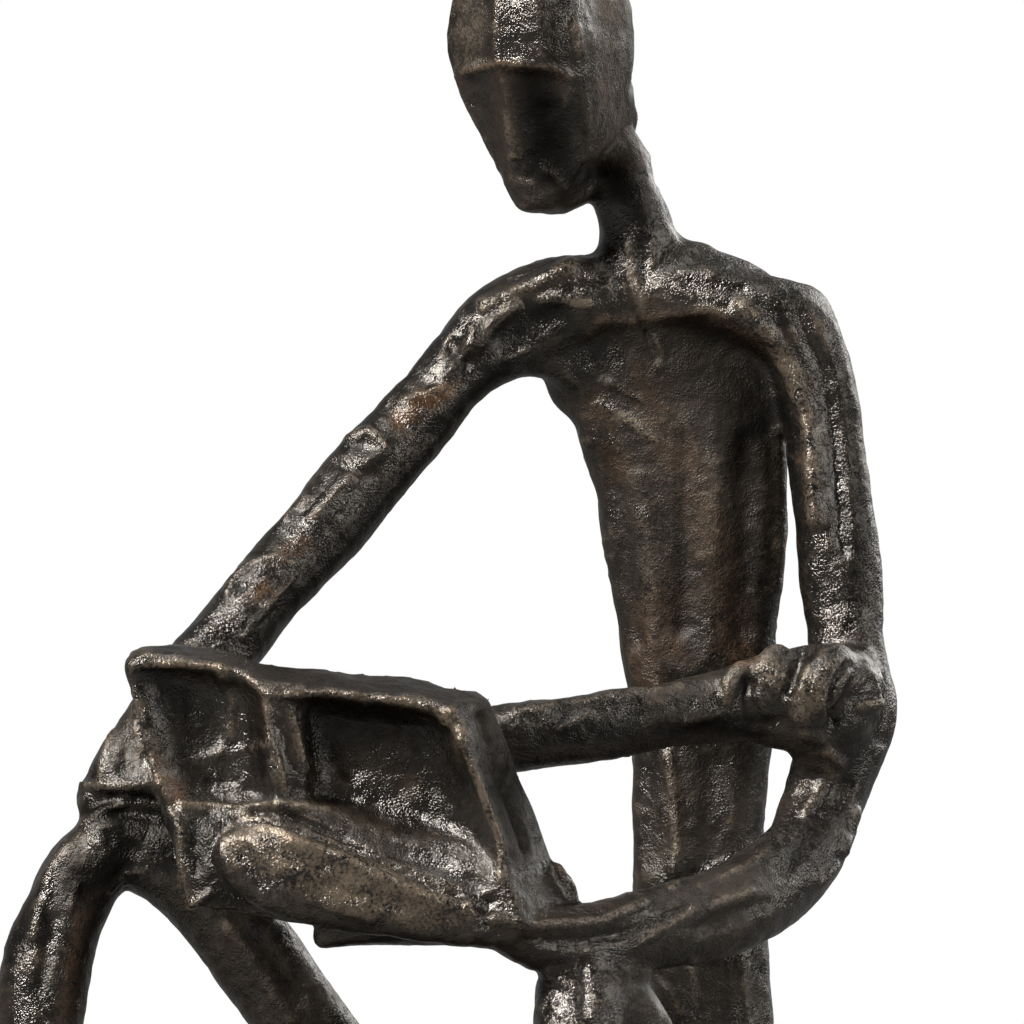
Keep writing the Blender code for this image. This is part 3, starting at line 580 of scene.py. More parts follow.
def shell_over(wax: bmesh.types.BMesh, rings: list) -> None:
    """Joins rings of corners into one closed shell.

    Args:
        wax: the mesh that receives the shell.
        rings: lists of corners, each list as long as the next.
    """
    loops = [[wax.verts.new(corner) for corner in ring] for ring in rings]
    for lower, upper in zip(loops, loops[1:]):
        for side in range(len(lower)):
            after = (side + 1) % len(lower)
            wax.faces.new((lower[side], lower[after], upper[after], upper[side]))
    wax.faces.new(list(reversed(loops[0])))
    wax.faces.new(loops[-1])


def evaluated(made: bpy.types.Object) -> bpy.types.Mesh:
    """The object's mesh with its modifiers carried out."""
    bpy.context.view_layer.update()
    return bpy.data.meshes.new_from_object(made.evaluated_get(bpy.context.evaluated_depsgraph_get()))


@dataclass
class Skin:
    """The casting's skin as arrays, for carving."""

    mesh: bpy.types.Mesh
    places: np.ndarray = field(init=False)
    edges: np.ndarray = field(init=False)

    def __post_init__(self) -> None:
        """Reads the mesh."""
        self.places = np.zeros(len(self.mesh.vertices) * 3)
        self.mesh.vertices.foreach_get("co", self.places)
        self.places = self.places.reshape(-1, 3)
        self.edges = np.zeros(len(self.mesh.edges) * 2, np.int64)
        self.mesh.edges.foreach_get("vertices", self.edges)
        self.edges = self.edges.reshape(-1, 2)

    def normals(self) -> np.ndarray:
        """The outward directions of the skin as the mesh now stands."""
        self.store()
        found = np.zeros(len(self.places) * 3)
        self.mesh.vertex_normals.foreach_get("vector", found)
        return found.reshape(-1, 3)

    def store(self) -> None:
        """Writes the places back to the mesh."""
        self.mesh.vertices.foreach_set("co", self.places.ravel())
        self.mesh.update()

    def spread(self, values: np.ndarray, rounds: int) -> np.ndarray:
        """Averages values with their neighbours.

        Args:
            values: one number or one row for each point of the skin.
            rounds: how often to average.

        Returns:
            The softened values.
        """
        ends = np.concatenate((self.edges[:, 0], self.edges[:, 1]))
        others = np.concatenate((self.edges[:, 1], self.edges[:, 0]))
        count = np.bincount(ends, minlength=len(self.places)).astype(float)
        columns = values.reshape(len(values), -1).T.copy()
        for _ in range(rounds):
            for column in columns:
                column[:] = 0.5 * column + 0.5 * np.bincount(ends, column[others], len(column)) / count
        return columns.T.reshape(values.shape)

    def proudness(self, rounds: int) -> np.ndarray:
        """How far each point stands proud of its softened surroundings, in metres."""
        away = self.places - self.spread(self.places, rounds)
        return np.einsum("ij,ij->i", away, self.normals())


@dataclass
class FrontView:
    """The skin as the picture shows it, or its far side, where the strokes drawn in the picture find their place."""

    skin: Skin
    cell: float = 6.0
    reach: float = 0.005
    side: int = 1
    seen: np.ndarray = field(init=False)
    openly: np.ndarray = field(init=False)

    def __post_init__(self) -> None:
        """Works out where each point appears and how openly it shows."""
        places = self.skin.places
        away = EYE_DISTANCE + places[:, 1] - HIPS_BEHIND_MIDDLE * UNIT
        swell = EYE_DISTANCE / away * PICTURE_STEPS_PER_METRE
        across = PICTURE_SIDE / 2 + (places[:, 0] - EYE_ACROSS * UNIT) * swell
        down = PICTURE_SIDE / 2 - (places[:, 2] - EYE_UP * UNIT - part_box("figure")[0].z) * swell
        self.seen = np.stack((across, down), axis=1)
        cells = np.floor(self.seen / self.cell).astype(int)
        cells -= cells.min(0)
        key = cells[:, 0] * (cells[:, 1].max() + 1) + cells[:, 1]
        nearest = np.full(key.max() + 1, np.inf)
        np.minimum.at(nearest, key, self.side * places[:, 1])
        shows = self.side * places[:, 1] < nearest[key] + self.reach
        self.openly = shows * np.clip((-self.side * self.skin.normals()[:, 1] - 0.05) / 0.4, 0, 1)

    def under(self, points: tuple, radius: float) -> tuple:
        """Finds the points of the skin under a stroke.

        Args:
            points: the stroke's places in the picture.
            radius: its half width in the picture.

        Returns:
            The points' indices, and how far from the stroke's middle each lies, from 0 to 1.
        """
        path = np.array(points, float)
        low, high = path.min(0) - radius, path.max(0) + radius
        near = np.nonzero((self.openly > 0) & np.all((self.seen > low) & (self.seen < high), axis=1))[0]
        gap = np.full(len(near), np.inf)
        for start, end in zip(path, path[1:] if len(path) > 1 else path):
            run = end - start
            t = np.clip((self.seen[near] - start) @ run / max(run @ run, 1e-9), 0, 1)
            gap = np.minimum(gap, np.linalg.norm(self.seen[near] - start - t[:, None] * run, axis=1))
        under = gap < radius
        return near[under], gap[under] / radius


@dataclass
class Figure:
    """The seated reader with the book, one casting."""

    voxel: float = 0.00085
    smoothing_passes: int = 6
    triangles: int = 194000
    sides: int = 28
    steps_between_stations: int = 6
    dome_steps: int = 4
    crease_rounds: int = 7
    mark_depth: float = 1.5
    lump_height: float = 0.00045
    lump_size: float = 0.010
    dent_height: float = 0.00042
    dent_size: float = 0.0040
    crisp_front: float = 0.026
    plane_depth: float = 0.92
    brush_reach: float = 0.007

    def rods(self) -> list:
        """All rods of wax in the figure."""
        return [TORSO, NECK, NAPE, NAPE_FILLET, JAW, TRAPEZIUS, ARMPIT, LEFT_CORNER, KNEE_CORNER, BOOK_FOOT,
                RIGHT_ARM, RIGHT_FOREARM, RIGHT_HAND, *GRIP, LEFT_ARM, LEFT_HAND, LEFT_PALM, RIGHT_THIGH,
                RIGHT_SHIN,
                LEFT_THIGH, LEFT_SHIN, RIGHT_FOOT, LEFT_FOOT, HEAD, NOSE]

    def lay_rod(self, wax: bmesh.types.BMesh, rod: Rod) -> None:
        """Lays one rod with domed ends, its width square to the way it faces.

        Args:
            wax: the mesh that receives the rod.
            rod: the rod's stations and section.
        """
        path = curve_through(rod.stations, self.steps_between_stations)
        points = [Vector(station[:3]) for station in path]
        rings = []
        for index, station in enumerate(path):
            before, after = points[max(index - 1, 0)], points[min(index + 1, len(points) - 1)]
            along = (after - before).normalized()
            width_axis = along.cross(Vector(rod.facing)).normalized()
            depth_axis = width_axis.cross(along).normalized()
            half_width, half_depth = station[3], station[4]
            domes = [(0.0, 1.0)]
            if index in (0, len(path) - 1):
                outward = -1 if index == 0 else 1
                reach = rod.dome_reach * min(half_width, half_depth)
                angles = [math.pi / 2 * step / (self.dome_steps + 0.5) for step in range(self.dome_steps + 1)]
                domes = [(outward * reach * math.sin(a), math.cos(a)) for a in angles]
                if index == 0:
                    domes.reverse()
            for shift, shrink in domes:
                middle = points[index] + along * shift
                rings.append([
                    rod.placed @ (middle + width_axis * (half_width * shrink * across)
                                  + depth_axis * (half_depth * shrink * deep))
                    for across, deep in self.oval(rod.squareness)
                ])
        shell_over(wax, rings)

    def oval(self, squareness: float) -> list:
        """Finds the corners of a section that reaches one to each side.

        Args:
            squareness: 2 for an ellipse, more for a boxier section.

        Returns:
            The corners in order, each across and deep.
        """
        corners = []
        for side in range(self.sides):
            angle = 2 * math.pi * side / self.sides
            across, deep = math.cos(angle), math.sin(angle)
            corners.append((math.copysign(abs(across) ** (2 / squareness), across),
                            math.copysign(abs(deep) ** (2 / squareness), deep)))
        return corners

    def lay_book(self, wax: bmesh.types.BMesh) -> None:
        """Lofts the open book from column to column, hollowed on the side that the picture shows.

        Args:
            wax: the mesh that receives the book.
        """
        rings = []
        for x_top, x_bottom, z_top, z_bottom, front, thickness, hollow, lip in curve_through(BOOK_COLUMNS, 3):
            height = z_top - z_bottom
            back = front - thickness
            outline = (
                (-BOOK_TOP_SLOPE * thickness / 14 / height, back), (-0.02, front - 1), (0, front),
                (0.03, front + 0.1), (0.06, front - 0.4 - hollow * 0.5), (0.11, front - hollow),
                (lip * 0.6, front - hollow * 1.2), (lip * 0.85, front - hollow * 1.15),
                (lip - 0.03, front - hollow * 0.9), (lip + 0.04, front - hollow * 0.3),
                (lip + 0.12, front + 0.6),
                (0.86, front + 1.8), (1, front + 2), (1, back + 2), (0.6, back), (0.3, back),
            )
            rings.append([Vector((x_top + (x_bottom - x_top) * down, -depth, z_top - height * down))
                          for down, depth in outline])
        shell_over(wax, rings)

    def fuse(self) -> bpy.types.Mesh:
        """Fuses rods and book into one fine skin.

        Returns:
            The skin in the row's frame, not yet carved.
        """
        wax = bmesh.new()
        for rod in self.rods():
            self.lay_rod(wax, rod)
        self.lay_book(wax)
        bmesh.ops.recalc_face_normals(wax, faces=wax.faces)
        wax.transform(self.place())
        data = bpy.data.meshes.new("wax")
        wax.to_mesh(data)
        wax.free()
        blank = bpy.data.objects.new("wax", data)
        bpy.context.scene.collection.objects.link(blank)
        fusing = blank.modifiers.new("fused", "REMESH")
        fusing.mode = "VOXEL"
        fusing.voxel_size = self.voxel
        easing = blank.modifiers.new("eased", "SMOOTH")
        easing.factor = 0.5
        easing.iterations = self.smoothing_passes
        skin = evaluated(blank)
        bpy.data.objects.remove(blank)
        return skin

    def place(self) -> Matrix:
        """From the figure's own measures to the row's frame."""
        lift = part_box("figure")[0].z
        return Matrix.Translation((0, HIPS_BEHIND_MIDDLE * UNIT, lift)) @ Matrix.Scale(UNIT, 4)

    def fill_creases(self, skin: Skin) -> None:
        """Lays wax into the creases between limbs, and leaves ridges and crisp areas as they are.

        Args:
            skin: the fused skin, changed in place.
        """
        view = FrontView(skin)
        share = np.ones(len(skin.places))
        for left, top, right, bottom in CRISP_AREAS:
            inside = np.all((view.seen > (left, top)) & (view.seen < (right, bottom)), axis=1)
            share[inside & (skin.places[:, 1] < self.crisp_front)] = 0
        share = skin.spread(share, 8)
        for _ in range(self.crease_rounds):
            away = skin.spread(skin.places, 8) - skin.places
            normals = skin.normals()
            lift = np.clip(np.einsum("ij,ij->i", away, normals), 0, None)
            skin.places += normals * (skin.spread(lift, 2) * share)[:, None]

    def plane_head(self, skin: Skin) -> None:
        """Pares the head to the flat planes of brow, face, temples and sides.

        Args:
            skin: the fused skin, changed in place.
        """
        inverse = np.array((self.place() @ HEAD_PLACE).inverted())
        local = skin.places @ inverse[:3, :3].T + inverse[:3, 3]
        stations = np.array(curve_through(HEAD.stations, 8))
        on_head = ((np.abs(local[:, 0]) < 19) & (local[:, 2] > -1) & (local[:, 2] < 60)
                   & (local[:, 1] > -26) & (local[:, 1] < 24))
        index = np.nonzero(on_head)[0]
        across, deep, up = local[index].T
        half_width, half_depth, middle = (np.interp(up, stations[:, 2], stations[:, column])
                                          for column in (3, 4, 1))
        for start, end, bottom, top, droop, ease in HEAD_PLANES:
            (ax, ay), (bx, by) = start, end
            outward = np.array((by - ay, ax - bx)) / math.hypot(by - ay, ax - bx)
            limit = outward @ (ax, ay)
            section = np.stack((across / half_width, (deep - middle) / half_depth), axis=1)
            proud = np.clip(section @ outward - limit, 0, 0.3)
            sunk = droop * (across / half_width) ** 2
            window = (np.clip((up - bottom + sunk) / ease + 0.5, 0, 1)
                      * np.clip((top - up - sunk) / ease + 0.5, 0, 1))
            cut = proud * window * self.plane_depth
            across = across - cut * outward[0] * half_width
            deep = deep - cut * outward[1] * half_depth
        moved = local.copy()
        moved[index, 0], moved[index, 1] = across, deep
        forward = np.array(self.place() @ HEAD_PLACE)
        skin.places[index] = moved[index] @ forward[:3, :3].T + forward[:3, 3]

    def carve(self, skin: Skin) -> None:
        """Draws every tool mark into the front and the back of the skin.

        Args:
            skin: the kneaded skin, changed in place.
        """
        rise = np.zeros(len(skin.places))
        for view, marks in ((FrontView(skin), MARKS), (FrontView(skin, side=-1), BACK_MARKS)):
            for mark in marks:
                near, t = view.under(mark.points, mark.radius)
                soft = mark.ink in (Ink.ROLL, Ink.DIMPLE)
                profile = (1 - t * t) ** 2 if soft else (1 - t) ** 1.4
                sign = 1 if mark.ink in (Ink.ROLL, Ink.RIDGE) else -1
                rise[near] += sign * mark.height * self.mark_depth * UNIT * profile * view.openly[near]
        skin.places += skin.normals() * rise[:, None]

    def knead(self, skin: Skin) -> None:
        """Leaves the soft lumps and dents of wax worked by hand all over the skin.

        Args:
            skin: the planed skin, changed in place.
        """
        normals = skin.normals()
        rise = np.zeros(len(skin.places))
        for index, place in enumerate(skin.places):
            lump = noise.noise(Vector(place) / self.lump_size)
            dent = noise.noise(Vector(place) / self.dent_size + Vector((7, 3, 1)))
            rise[index] = lump * self.lump_height - abs(dent) * self.dent_height
        skin.places += normals * rise[:, None]

    def thin(self, mesh: bpy.types.Mesh) -> bpy.types.Mesh:
        """Spends the triangles where the skin bends.

        Args:
            mesh: the carved skin.

        Returns:
            The same skin with the wanted number of triangles.
        """
        count = sum(len(face.vertices) - 2 for face in mesh.polygons)
        blank = bpy.data.objects.new("thinned", mesh)
        bpy.context.scene.collection.objects.link(blank)
        thinning = blank.modifiers.new("fewer faces", "DECIMATE")
        thinning.ratio = min(1.0, self.triangles / count)
        thinning.use_collapse_triangulate = True
        made = evaluated(blank)
        bpy.data.objects.remove(blank)
        LOG.info("skin thinned from %d to %d triangles", count, len(made.polygons))
        return made

    def trim(self, mesh: bpy.types.Mesh) -> None:
        """Cuts the soles and the seat flat where they meet the base.

        Args:
            mesh: the thinned skin, changed in place.
        """
        wax = bmesh.new()
        wax.from_mesh(mesh)
        level = Vector((0, 0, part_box("figure")[0].z))
        bmesh.ops.bisect_plane(wax, geom=[*wax.verts, *wax.edges, *wax.faces], plane_co=level,
                               plane_no=(0, 0, -1), clear_outer=True)
        rims = [edge for edge in wax.edges if edge.is_boundary]
        bmesh.ops.holes_fill(wax, edges=rims, sides=0)
        bmesh.ops.triangulate(wax, faces=[face for face in wax.faces if len(face.verts) > 3])
        wax.to_mesh(mesh)
        wax.free()

    def brush(self, skin: Skin) -> None:
        """Lays rubbed wear with painted highlight, dryness, rust and painted shade on the skin for the patina to
        read.

        Args:
            skin: the finished skin, which receives one layer for each.
        """
        view = FrontView(skin, reach=self.brush_reach)
        layers = {name: np.zeros(len(skin.places)) for name in ("wear_and_highlight_share", *(tint.value for tint in Tint))}
        for seen, marks in ((view, MARKS), (FrontView(skin, reach=self.brush_reach, side=-1), BACK_MARKS)):
            for mark in marks:
                near, t = seen.under(mark.points, mark.radius)
                layers["wear_and_highlight_share"][near] = np.maximum(layers["wear_and_highlight_share"][near], mark.wear_and_highlight * (1 - t * t))
        for mark in BRUSH_MARKS:
            near, t = view.under(mark.points, mark.radius)
            layer = layers[mark.tint.value]
            layer[near] = np.maximum(layer[near], mark.strength * (1 - t * t) ** 0.7)
        for name, values in layers.items():
            store_layer(skin.mesh, name, skin.spread(values, 1))

    def build(self) -> bpy.types.Object:
        """Models the casting.

        Returns:
            The finished figure, not yet dressed.
        """
        skin = Skin(self.fuse())
        self.fill_creases(skin)
        self.plane_head(skin)
        self.knead(skin)
        self.carve(skin)
        skin.store()
        mesh = self.thin(skin.mesh)
        self.trim(mesh)
        mesh.name = "seated_reader"
        mesh.shade_smooth()
        skin = Skin(mesh)
        skin.places = np.clip(skin.places, *(np.array(corner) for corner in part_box("figure")))
        skin.store()
        self.brush(skin)
        store_proudness(skin)
        return bpy.data.objects.new("seated_reader", mesh)


def store_layer(mesh: bpy.types.Mesh, name: str, values: np.ndarray) -> None:
    """Keeps one number per point on the mesh, for the materials."""
    mesh.attributes.new(name, "FLOAT", "POINT").data.foreach_set("value", values.astype(np.float32))


def store_proudness(skin: Skin) -> None:
    """Keeps how far each point stands proud, in millimetres, at a fine and a broad reach.

    Args:
        skin: the finished skin, which receives one layer for each reach.
    """
    for name, rounds in (("proud_fine", 3), ("proud_broad", 24)):
        store_layer(skin.mesh, name, skin.proudness(rounds) * 1000)


@dataclass
class Slab:
    """The low base, cast like the figure but plainer."""

    corner_radius: float = 0.012
    edge_rounding: float = 0.0018
    cuts: int = 110
    unevenness: float = 0.00035
    voxel: float = 0.0012
    lump_size: float = 0.016
    dent_size: float = 0.005

    def build(self) -> bpy.types.Object:
        """Models the base within the solid's box.

        Returns:
            The finished base, not yet dressed.
        """
        low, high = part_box("base")
        size, middle = high - low, (high + low) / 2
        block = bmesh.new()
        bmesh.ops.create_cube(block, size=1)
        bmesh.ops.scale(block, vec=size, verts=block.verts)
        bmesh.ops.translate(block, vec=middle, verts=block.verts)
        upright = [e for e in block.edges if abs(e.verts[0].co.z - e.verts[1].co.z) > size.z / 2]
        bmesh.ops.bevel(block, geom=upright, offset=self.corner_radius, segments=10, profile=0.5,
                        affect="EDGES")
        around = [e for e in block.edges if abs(e.verts[0].co.z - e.verts[1].co.z) < 1e-6]
        bmesh.ops.bevel(block, geom=around, offset=self.edge_rounding, segments=4, profile=0.5,
                        affect="EDGES")
        data = bpy.data.meshes.new("slab_blank")
        block.to_mesh(data)
        block.free()
        blank = bpy.data.objects.new("slab_blank", data)
        bpy.context.scene.collection.objects.link(blank)
        fusing = blank.modifiers.new("fused", "REMESH")
        fusing.mode = "VOXEL"
        fusing.voxel_size = self.voxel
        mesh = evaluated(blank)
        bpy.data.objects.remove(blank)
        self.weather(mesh, low, high)
        mesh.name = "base_slab"
        mesh.shade_smooth()
        store_proudness(Skin(mesh))
        return bpy.data.objects.new("base_slab", mesh)

    def weather(self, mesh: bpy.types.Mesh, low: Vector, high: Vector) -> None:
        """Makes the slab's top and sides slightly uneven, inwards only, and leaves its underside flat.

        Args:
            mesh: the slab's skin.
            low: the lowest corner of the solid's box.
            high: the highest corner of the solid's box.
        """
        skin = Skin(mesh)
        normals = skin.normals()
        sink = np.zeros(len(skin.places))
        for index, place in enumerate(skin.places):
            point = Vector(place)
            lump, dent = abs(noise.noise(point / self.lump_size)), abs(noise.noise(point / self.dent_size))
            sink[index] = (lump + 0.5 * dent) * self.unevenness
        sink[normals[:, 2] < -0.5] = 0
        skin.places -= normals * sink[:, None]
        skin.places = np.clip(skin.places, np.array(low), np.array(high))
        skin.store()


def effect(name: str, takes: dict, gives: dict) -> bpy.types.ShaderNodeTree:
    """Starts a shader node group with named inputs and outputs.

    Args:
        name: what the group is called.
        takes: inputs and their starting values.
        gives: outputs and their socket types.

    Returns:
        The group, holding only its input and output nodes.
    """
    group = bpy.data.node_groups.new(name, "ShaderNodeTree")
    for label, value in takes.items():
        kind = "NodeSocketFloat" if isinstance(value, (int, float)) else "NodeSocketColor"
        made = group.interface.new_socket(label, in_out="INPUT", socket_type=kind)
        made.default_value = value
    for label, kind in gives.items():
        group.interface.new_socket(label, in_out="OUTPUT", socket_type=kind)
    group.nodes.new("NodeGroupInput")
    group.nodes.new("NodeGroupOutput")
    return group


class Wiring:
    """Places and joins the nodes of one tree."""

    def __init__(self, tree: bpy.types.NodeTree) -> None:
        """Takes the tree that is worked on."""
        self.tree = tree

    def node(self, kind: str, inputs: dict | None = None, **settings: object) -> bpy.types.Node:
        """Adds one node.

        Args:
            kind: Blender's name for the node.
            inputs: values or output sockets for its input sockets, by name or number.
            settings: the node's own properties.

        Returns:
            The node.
        """
        made = self.tree.nodes.new(kind)
        for name, value in settings.items():
            setattr(made, name, value)
        for key, value in (inputs or {}).items():
            if isinstance(value, bpy.types.NodeSocket):
                self.tree.links.new(value, made.inputs[key])
            else:
                made.inputs[key].default_value = value
        return made

    def math(self, operation: str, first: object, second: object = 0.0, clamp: bool = False) -> object:
        """One sum of two numbers or sockets, as an output socket."""
        return self.node("ShaderNodeMath", {0: first, 1: second}, operation=operation,
                         use_clamp=clamp).outputs[0]

    def grain(self, scale: object, detail: float, roughness: float, place: object) -> object:
        """A noise value over the surface, as an output socket."""
        return self.node("ShaderNodeTexNoise", {"Vector": place, "Scale": scale, "Detail": detail,
                                                "Roughness": roughness}).outputs["Fac"]

    def step(self, value: object, low: float, high: float) -> object:
        """Eases a value from 0 at low to 1 at high, as an output socket."""
        return self.node("ShaderNodeMapRange", {"Value": value, "From Min": low, "From Max": high},
                         interpolation_type="SMOOTHSTEP").outputs["Result"]

    def mix(self, share: object, first: object, second: object) -> object:
        """Mixes two colours by a share, as an output socket."""
        made = self.node("ShaderNodeMix", {0: share, 6: first, 7: second}, data_type="RGBA")
        return made.outputs[2]


class SandGrain:
    """The pebbled grain that casting sand leaves, as a height."""

    @staticmethod
    def group() -> bpy.types.ShaderNodeTree:
        """Builds the group once."""
        tree = effect("sand_grain", {"Pebble Scale": 2200.0, "Grain Scale": 3200.0, "Dent Scale": 420.0},
                      {"Height": "NodeSocketFloat"})
        w = Wiring(tree)
        takes, gives = tree.nodes[0].outputs, tree.nodes[1].inputs
        place = w.node("ShaderNodeTexCoord").outputs["Object"]
        pebbles = w.node("ShaderNodeTexVoronoi", {"Vector": place, "Scale": takes["Pebble Scale"]},
                         feature="F1").outputs["Distance"]
        fine = w.grain(takes["Grain Scale"], 2.0, 0.6, place)
        dents = w.grain(takes["Dent Scale"], 3.0, 0.5, place)
        pebbled = w.math("MULTIPLY", w.math("SUBTRACT", 1.0, pebbles), w.step(dents, 0.3, 0.65))
        height = w.math("ADD", w.math("MULTIPLY", pebbled, 0.75), w.math("MULTIPLY", fine, 0.5))
        tree.links.new(w.math("ADD", height, w.math("MULTIPLY", dents, 0.7)), gives["Height"])
        return tree


class Patina:
    """Browns, blacks, rust, rubbed wear that in places also paints highlights, and painted shade, as colour,
    roughness and metal share.

    Clouds, patches and specks are noises, each given by its scale, detail and roughness.
    """

    CLOUDS = (46.0, 5.0, 0.62)
    PATCHES = (150.0, 6.0, 0.68)
    SPECKS = (1400.0, 3.0, 0.65)

    @staticmethod
    def group() -> bpy.types.ShaderNodeTree:
        """Builds the group once."""
        # The worn colour serves both for rubbed wear on the iron and for painted highlights
        tree = effect(
            "iron_patina",
            {"Black": (0.0040, 0.0037, 0.0034, 1), "Umber": (0.016, 0.0115, 0.0080, 1),
             "Dry Brown": (0.031, 0.0215, 0.0138, 1), "Rust": (0.095, 0.043, 0.016, 1),
             "Wear And Highlight Colour": (0.215, 0.167, 0.120, 1), "Wear And Highlight Strength": 1.0},
            {"Color": "NodeSocketColor", "Roughness": "NodeSocketFloat", "Metal": "NodeSocketFloat"},
        )
        w = Wiring(tree)
        takes, gives = tree.nodes[0].outputs, tree.nodes[1].inputs
        place = w.node("ShaderNodeTexCoord").outputs["Object"]
        layer = {name: w.node("ShaderNodeAttribute", attribute_name=name).outputs["Fac"]
                 for name in ("proud_fine", "proud_broad", "wear_and_highlight_share", "dry_share", "rust_share",
                              "painted_shade_share")}
        clouds = w.grain(*Patina.CLOUDS, place)
        patches = w.grain(*Patina.PATCHES, place)
        specks = w.grain(*Patina.SPECKS, place)
        dry = w.math("ADD", w.math("MULTIPLY", layer["dry_share"], 0.8),
                     w.math("MULTIPLY", w.step(clouds, 0.5, 0.72), 0.24))
        dry = w.step(w.math("ADD", dry, w.math("MULTIPLY", w.math("SUBTRACT", patches, 0.5), 1.2)),
                     0.15, 0.95)
        ground = w.mix(w.step(w.math("ADD", clouds, w.math("MULTIPLY", patches, 0.6)), 0.66, 0.98),
                       takes["Black"], takes["Umber"])
        ground = w.mix(w.math("MULTIPLY", dry, w.step(specks, 0.30, 0.68)), ground, takes["Dry Brown"])
        rust = w.math("ADD", layer["rust_share"], w.math("MULTIPLY", w.step(patches, 0.60, 0.74), 0.35))
        rust = w.math("MULTIPLY", rust, w.step(w.math("ADD", specks, patches), 0.78, 1.12), clamp=True)
        ground = w.mix(rust, ground, takes["Rust"])
        # Rubbed places: wear on proud edges and along the tool strokes, which in places also paints a highlight
        edge = w.step(w.math("ADD", w.math("MULTIPLY", layer["proud_fine"], 5.0),
                             w.math("MULTIPLY", layer["proud_broad"], 0.35)), 0.30, 1.1)
        edge = w.math("ADD", w.math("MULTIPLY", edge, 0.32), layer["wear_and_highlight_share"])
        edge = w.math("MULTIPLY", edge, w.step(w.math("ADD", specks, w.math("MULTIPLY", patches, 0.9)),
                                               0.78, 1.12))
        edge = w.math("MULTIPLY", edge, takes["Wear And Highlight Strength"], clamp=True)
        colour = w.mix(edge, ground, takes["Wear And Highlight Colour"])
        hollow = w.step(w.math("MULTIPLY", layer["proud_broad"], -1.0), 0.10, 0.8)
        colour = w.mix(w.math("MULTIPLY", hollow, 0.5), colour, takes["Black"])
        # Painted shade: the shade strokes darken the colour towards black
        colour = w.mix(w.math("MULTIPLY", layer["painted_shade_share"], 0.9), colour, takes["Black"])
        tree.links.new(colour, gives["Color"])
        rough = w.math("ADD", w.math("ADD", 0.10, w.math("MULTIPLY", patches, 0.18)),
                       w.math("MULTIPLY", dry, 0.42))
        # The painted shade also roughens the surface and, through the metal share, takes away its diffuse light
        rough = w.math("ADD", rough, w.math("MULTIPLY", layer["painted_shade_share"], 0.2), clamp=True)
        tree.links.new(rough, gives["Roughness"])
        dull = w.math("ADD", w.math("MULTIPLY", layer["painted_shade_share"], 0.85), w.math("MULTIPLY", dry, 0.35),
                      clamp=True)
        tree.links.new(w.math("MAXIMUM", w.math("MULTIPLY", edge, 0.7, clamp=True), dull), gives["Metal"])
        return tree


@dataclass(frozen=True)
class IronFinish:
    """A cast iron finish: how strong its grain is, how strongly its rubbed wear and painted highlights show, and how
    it shines.
    """

    name: str
    grain_depth: float
    wear_and_highlight: float
    gloss: float
    sheen: float = 0.85
    sheen_tint: tuple = (1.0, 0.94, 0.87, 1)

    def material(self, grain: bpy.types.ShaderNodeTree,
                 patina: bpy.types.ShaderNodeTree) -> bpy.types.Material:
        """Makes the finish.

        Args:
            grain: the shared group that gives the sand grain's height.
            patina: the shared group that gives the patina's colour.

        Returns:
            The material.
        """
        made = bpy.data.materials.new(self.name)
        made.use_nodes = True
        w = Wiring(made.node_tree)
        shader = made.node_tree.nodes["Principled BSDF"]
        skin = w.node("ShaderNodeGroup", node_tree=patina)
        skin.inputs["Wear And Highlight Strength"].default_value = self.wear_and_highlight
        sand = w.node("ShaderNodeGroup", node_tree=grain)
        bump = w.node("ShaderNodeBump", {"Height": sand.outputs["Height"], "Strength": 1.0,
                                         "Distance": self.grain_depth})
        for source, target in ((skin.outputs["Color"], "Base Color"),
                               (skin.outputs["Roughness"], "Roughness"),
                               (skin.outputs["Metal"], "Metallic"), (bump.outputs["Normal"], "Normal")):
            made.node_tree.links.new(source, shader.inputs[target])
        shader.inputs["IOR"].default_value = self.gloss
        shader.inputs["Specular IOR Level"].default_value = self.sheen
        shader.inputs["Specular Tint"].default_value = self.sheen_tint
        return made


@dataclass(frozen=True)
class Softbox:
    """A rectangular studio light, with its size in metres and its power in watts."""

    name: str
    place: tuple
    size: tuple
    power: float
    aim: tuple = (0.0, 0.0, 0.2)
    color: tuple = (1.0, 0.985, 0.96)

    def hang(self) -> None:
        """Hangs the light so that it faces its aim."""
        lamp = bpy.data.lights.new(self.name, "AREA")
        lamp.shape = "RECTANGLE"
        lamp.size, lamp.size_y = self.size
        lamp.energy = self.power
        lamp.color = self.color
        made = bpy.data.objects.new(self.name, lamp)
        made.location = self.place
        made.rotation_euler = (Vector(self.aim) - Vector(self.place)).to_track_quat("-Z", "Y").to_euler()
        bpy.context.scene.collection.objects.link(made)


SOFTBOXES = (
    Softbox("key_softbox", (-1.1, -1.15, 1.5), (0.5, 0.5), 86),
    Softbox("top_softbox", (0.0, -0.2, 1.7), (0.8, 0.4), 7),
    Softbox("right_fill", (1.6, -0.6, 0.7), (0.3, 1.0), 11),
    Softbox("back_softbox", (1.1, 1.35, 0.9), (0.9, 1.1), 14),
)


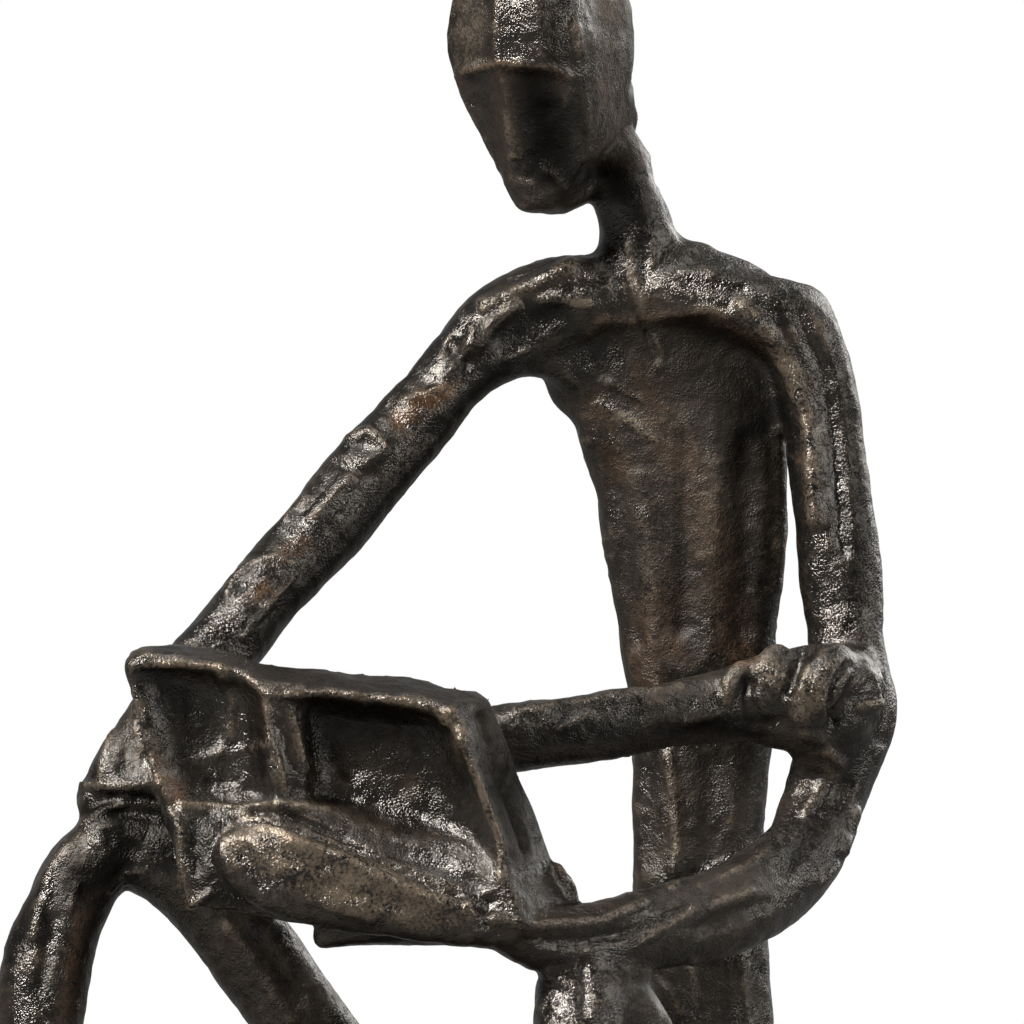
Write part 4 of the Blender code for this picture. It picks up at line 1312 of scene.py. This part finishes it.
@dataclass
class Studio:
    """Pale floor, white surroundings, softboxes and the camera."""

    floor_radius: float = 2.4
    front_light: float = 0.01
    back_light: float = 0.25

    def floor(self) -> None:
        """Lays the pale floor."""
        disc = bmesh.new()
        bmesh.ops.create_circle(disc, cap_ends=True, segments=96, radius=self.floor_radius)
        data = bpy.data.meshes.new("floor")
        disc.to_mesh(data)
        disc.free()
        made = bpy.data.objects.new("floor", data)
        finish = bpy.data.materials.new("pale_floor")
        finish.use_nodes = True
        w = Wiring(finish.node_tree)
        surface = finish.node_tree.nodes["Principled BSDF"]
        surface.inputs["Roughness"].default_value = 0.7
        tone = w.node("ShaderNodeMix", {0: w.node("ShaderNodeLightPath").outputs["Is Camera Ray"],
                                        6: (0.12, 0.12, 0.12, 1), 7: (0.86, 0.86, 0.86, 1)}, data_type="RGBA")
        finish.node_tree.links.new(tone.outputs[2], surface.inputs["Base Color"])
        data.materials.append(finish)
        bpy.context.scene.collection.objects.link(made)

    def surroundings(self) -> None:
        """White behind the object, and for the reflections a room that is dark in front and white behind."""
        world = bpy.data.worlds.new("studio")
        world.use_nodes = True
        bpy.context.scene.world = world
        w = Wiring(world.node_tree)
        room = world.node_tree.nodes["Background"]
        room.inputs["Strength"].default_value = 1.0
        way = w.node("ShaderNodeSeparateXYZ", {0: w.node("ShaderNodeTexCoord").outputs["Generated"]}).outputs
        behind = w.node("ShaderNodeMapRange", {"Value": way["Y"], "From Min": -0.1, "From Max": 1.0,
                                               "To Min": self.front_light, "To Max": self.back_light},
                        interpolation_type="SMOOTHSTEP").outputs["Result"]
        shade = w.node("ShaderNodeCombineColor", {0: behind, 1: behind, 2: behind}).outputs[0]
        world.node_tree.links.new(shade, room.inputs["Color"])
        backdrop = w.node("ShaderNodeBackground", {"Color": (1, 1, 1, 1), "Strength": 1.0})
        path = w.node("ShaderNodeLightPath")
        both = w.node("ShaderNodeMixShader", {0: path.outputs["Is Camera Ray"], 1: room.outputs[0],
                                              2: backdrop.outputs[0]})
        world.node_tree.links.new(both.outputs[0], world.node_tree.nodes["World Output"].inputs["Surface"])

    def camera(self) -> None:
        """Stands the camera level, at the photograph's angle."""
        lens = bpy.data.cameras.new("camera")
        lens.sensor_width = SENSOR_WIDTH
        lens.lens = SENSOR_WIDTH * EYE_DISTANCE * PICTURE_STEPS_PER_METRE / PICTURE_SIDE
        lens.clip_end = 100
        made = bpy.data.objects.new("camera", lens)
        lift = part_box("figure")[0].z
        made.location = (EYE_ACROSS * UNIT, HIPS_BEHIND_MIDDLE * UNIT - EYE_DISTANCE, EYE_UP * UNIT + lift)
        made.rotation_euler = (math.pi / 2, 0, 0)
        bpy.context.scene.collection.objects.link(made)
        bpy.context.scene.camera = made

    def build(self) -> None:
        """Sets up everything around the object."""
        self.camera()
        self.floor()
        self.surroundings()
        for softbox in SOFTBOXES:
            softbox.hang()
        bpy.context.scene.view_settings.view_transform = "Standard"


def dress(made: bpy.types.Object, finish: bpy.types.Material, node: str) -> None:
    """Puts a finished piece in the place of its solid.

    Args:
        made: the piece.
        finish: its material.
        node: the solid that it stands for.
    """
    bpy.context.scene.collection.objects.link(made)
    made.data.materials.clear()
    made.data.materials.append(finish)
    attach(made, "root")
    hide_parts(node)
    LOG.info("%s: %d faces, finish %s", made.name, len(made.data.polygons), finish.name)


def main() -> None:
    """Builds and dresses each piece in order, then the studio."""
    logging.basicConfig(level=logging.INFO, format="%(name)s: %(message)s")
    Studio().build()
    grain, patina = SandGrain.group(), Patina.group()
    dark = IronFinish("figure_patina", grain_depth=0.00022, wear_and_highlight=1.0, gloss=1.5).material(grain, patina)
    plain = IronFinish("base_patina", grain_depth=0.00020, wear_and_highlight=0.7, gloss=1.45).material(grain, patina)
    dress(Figure().build(), dark, "figure")
    dress(Slab().build(), plain, "base")


if __name__ == "__main__":
    main()
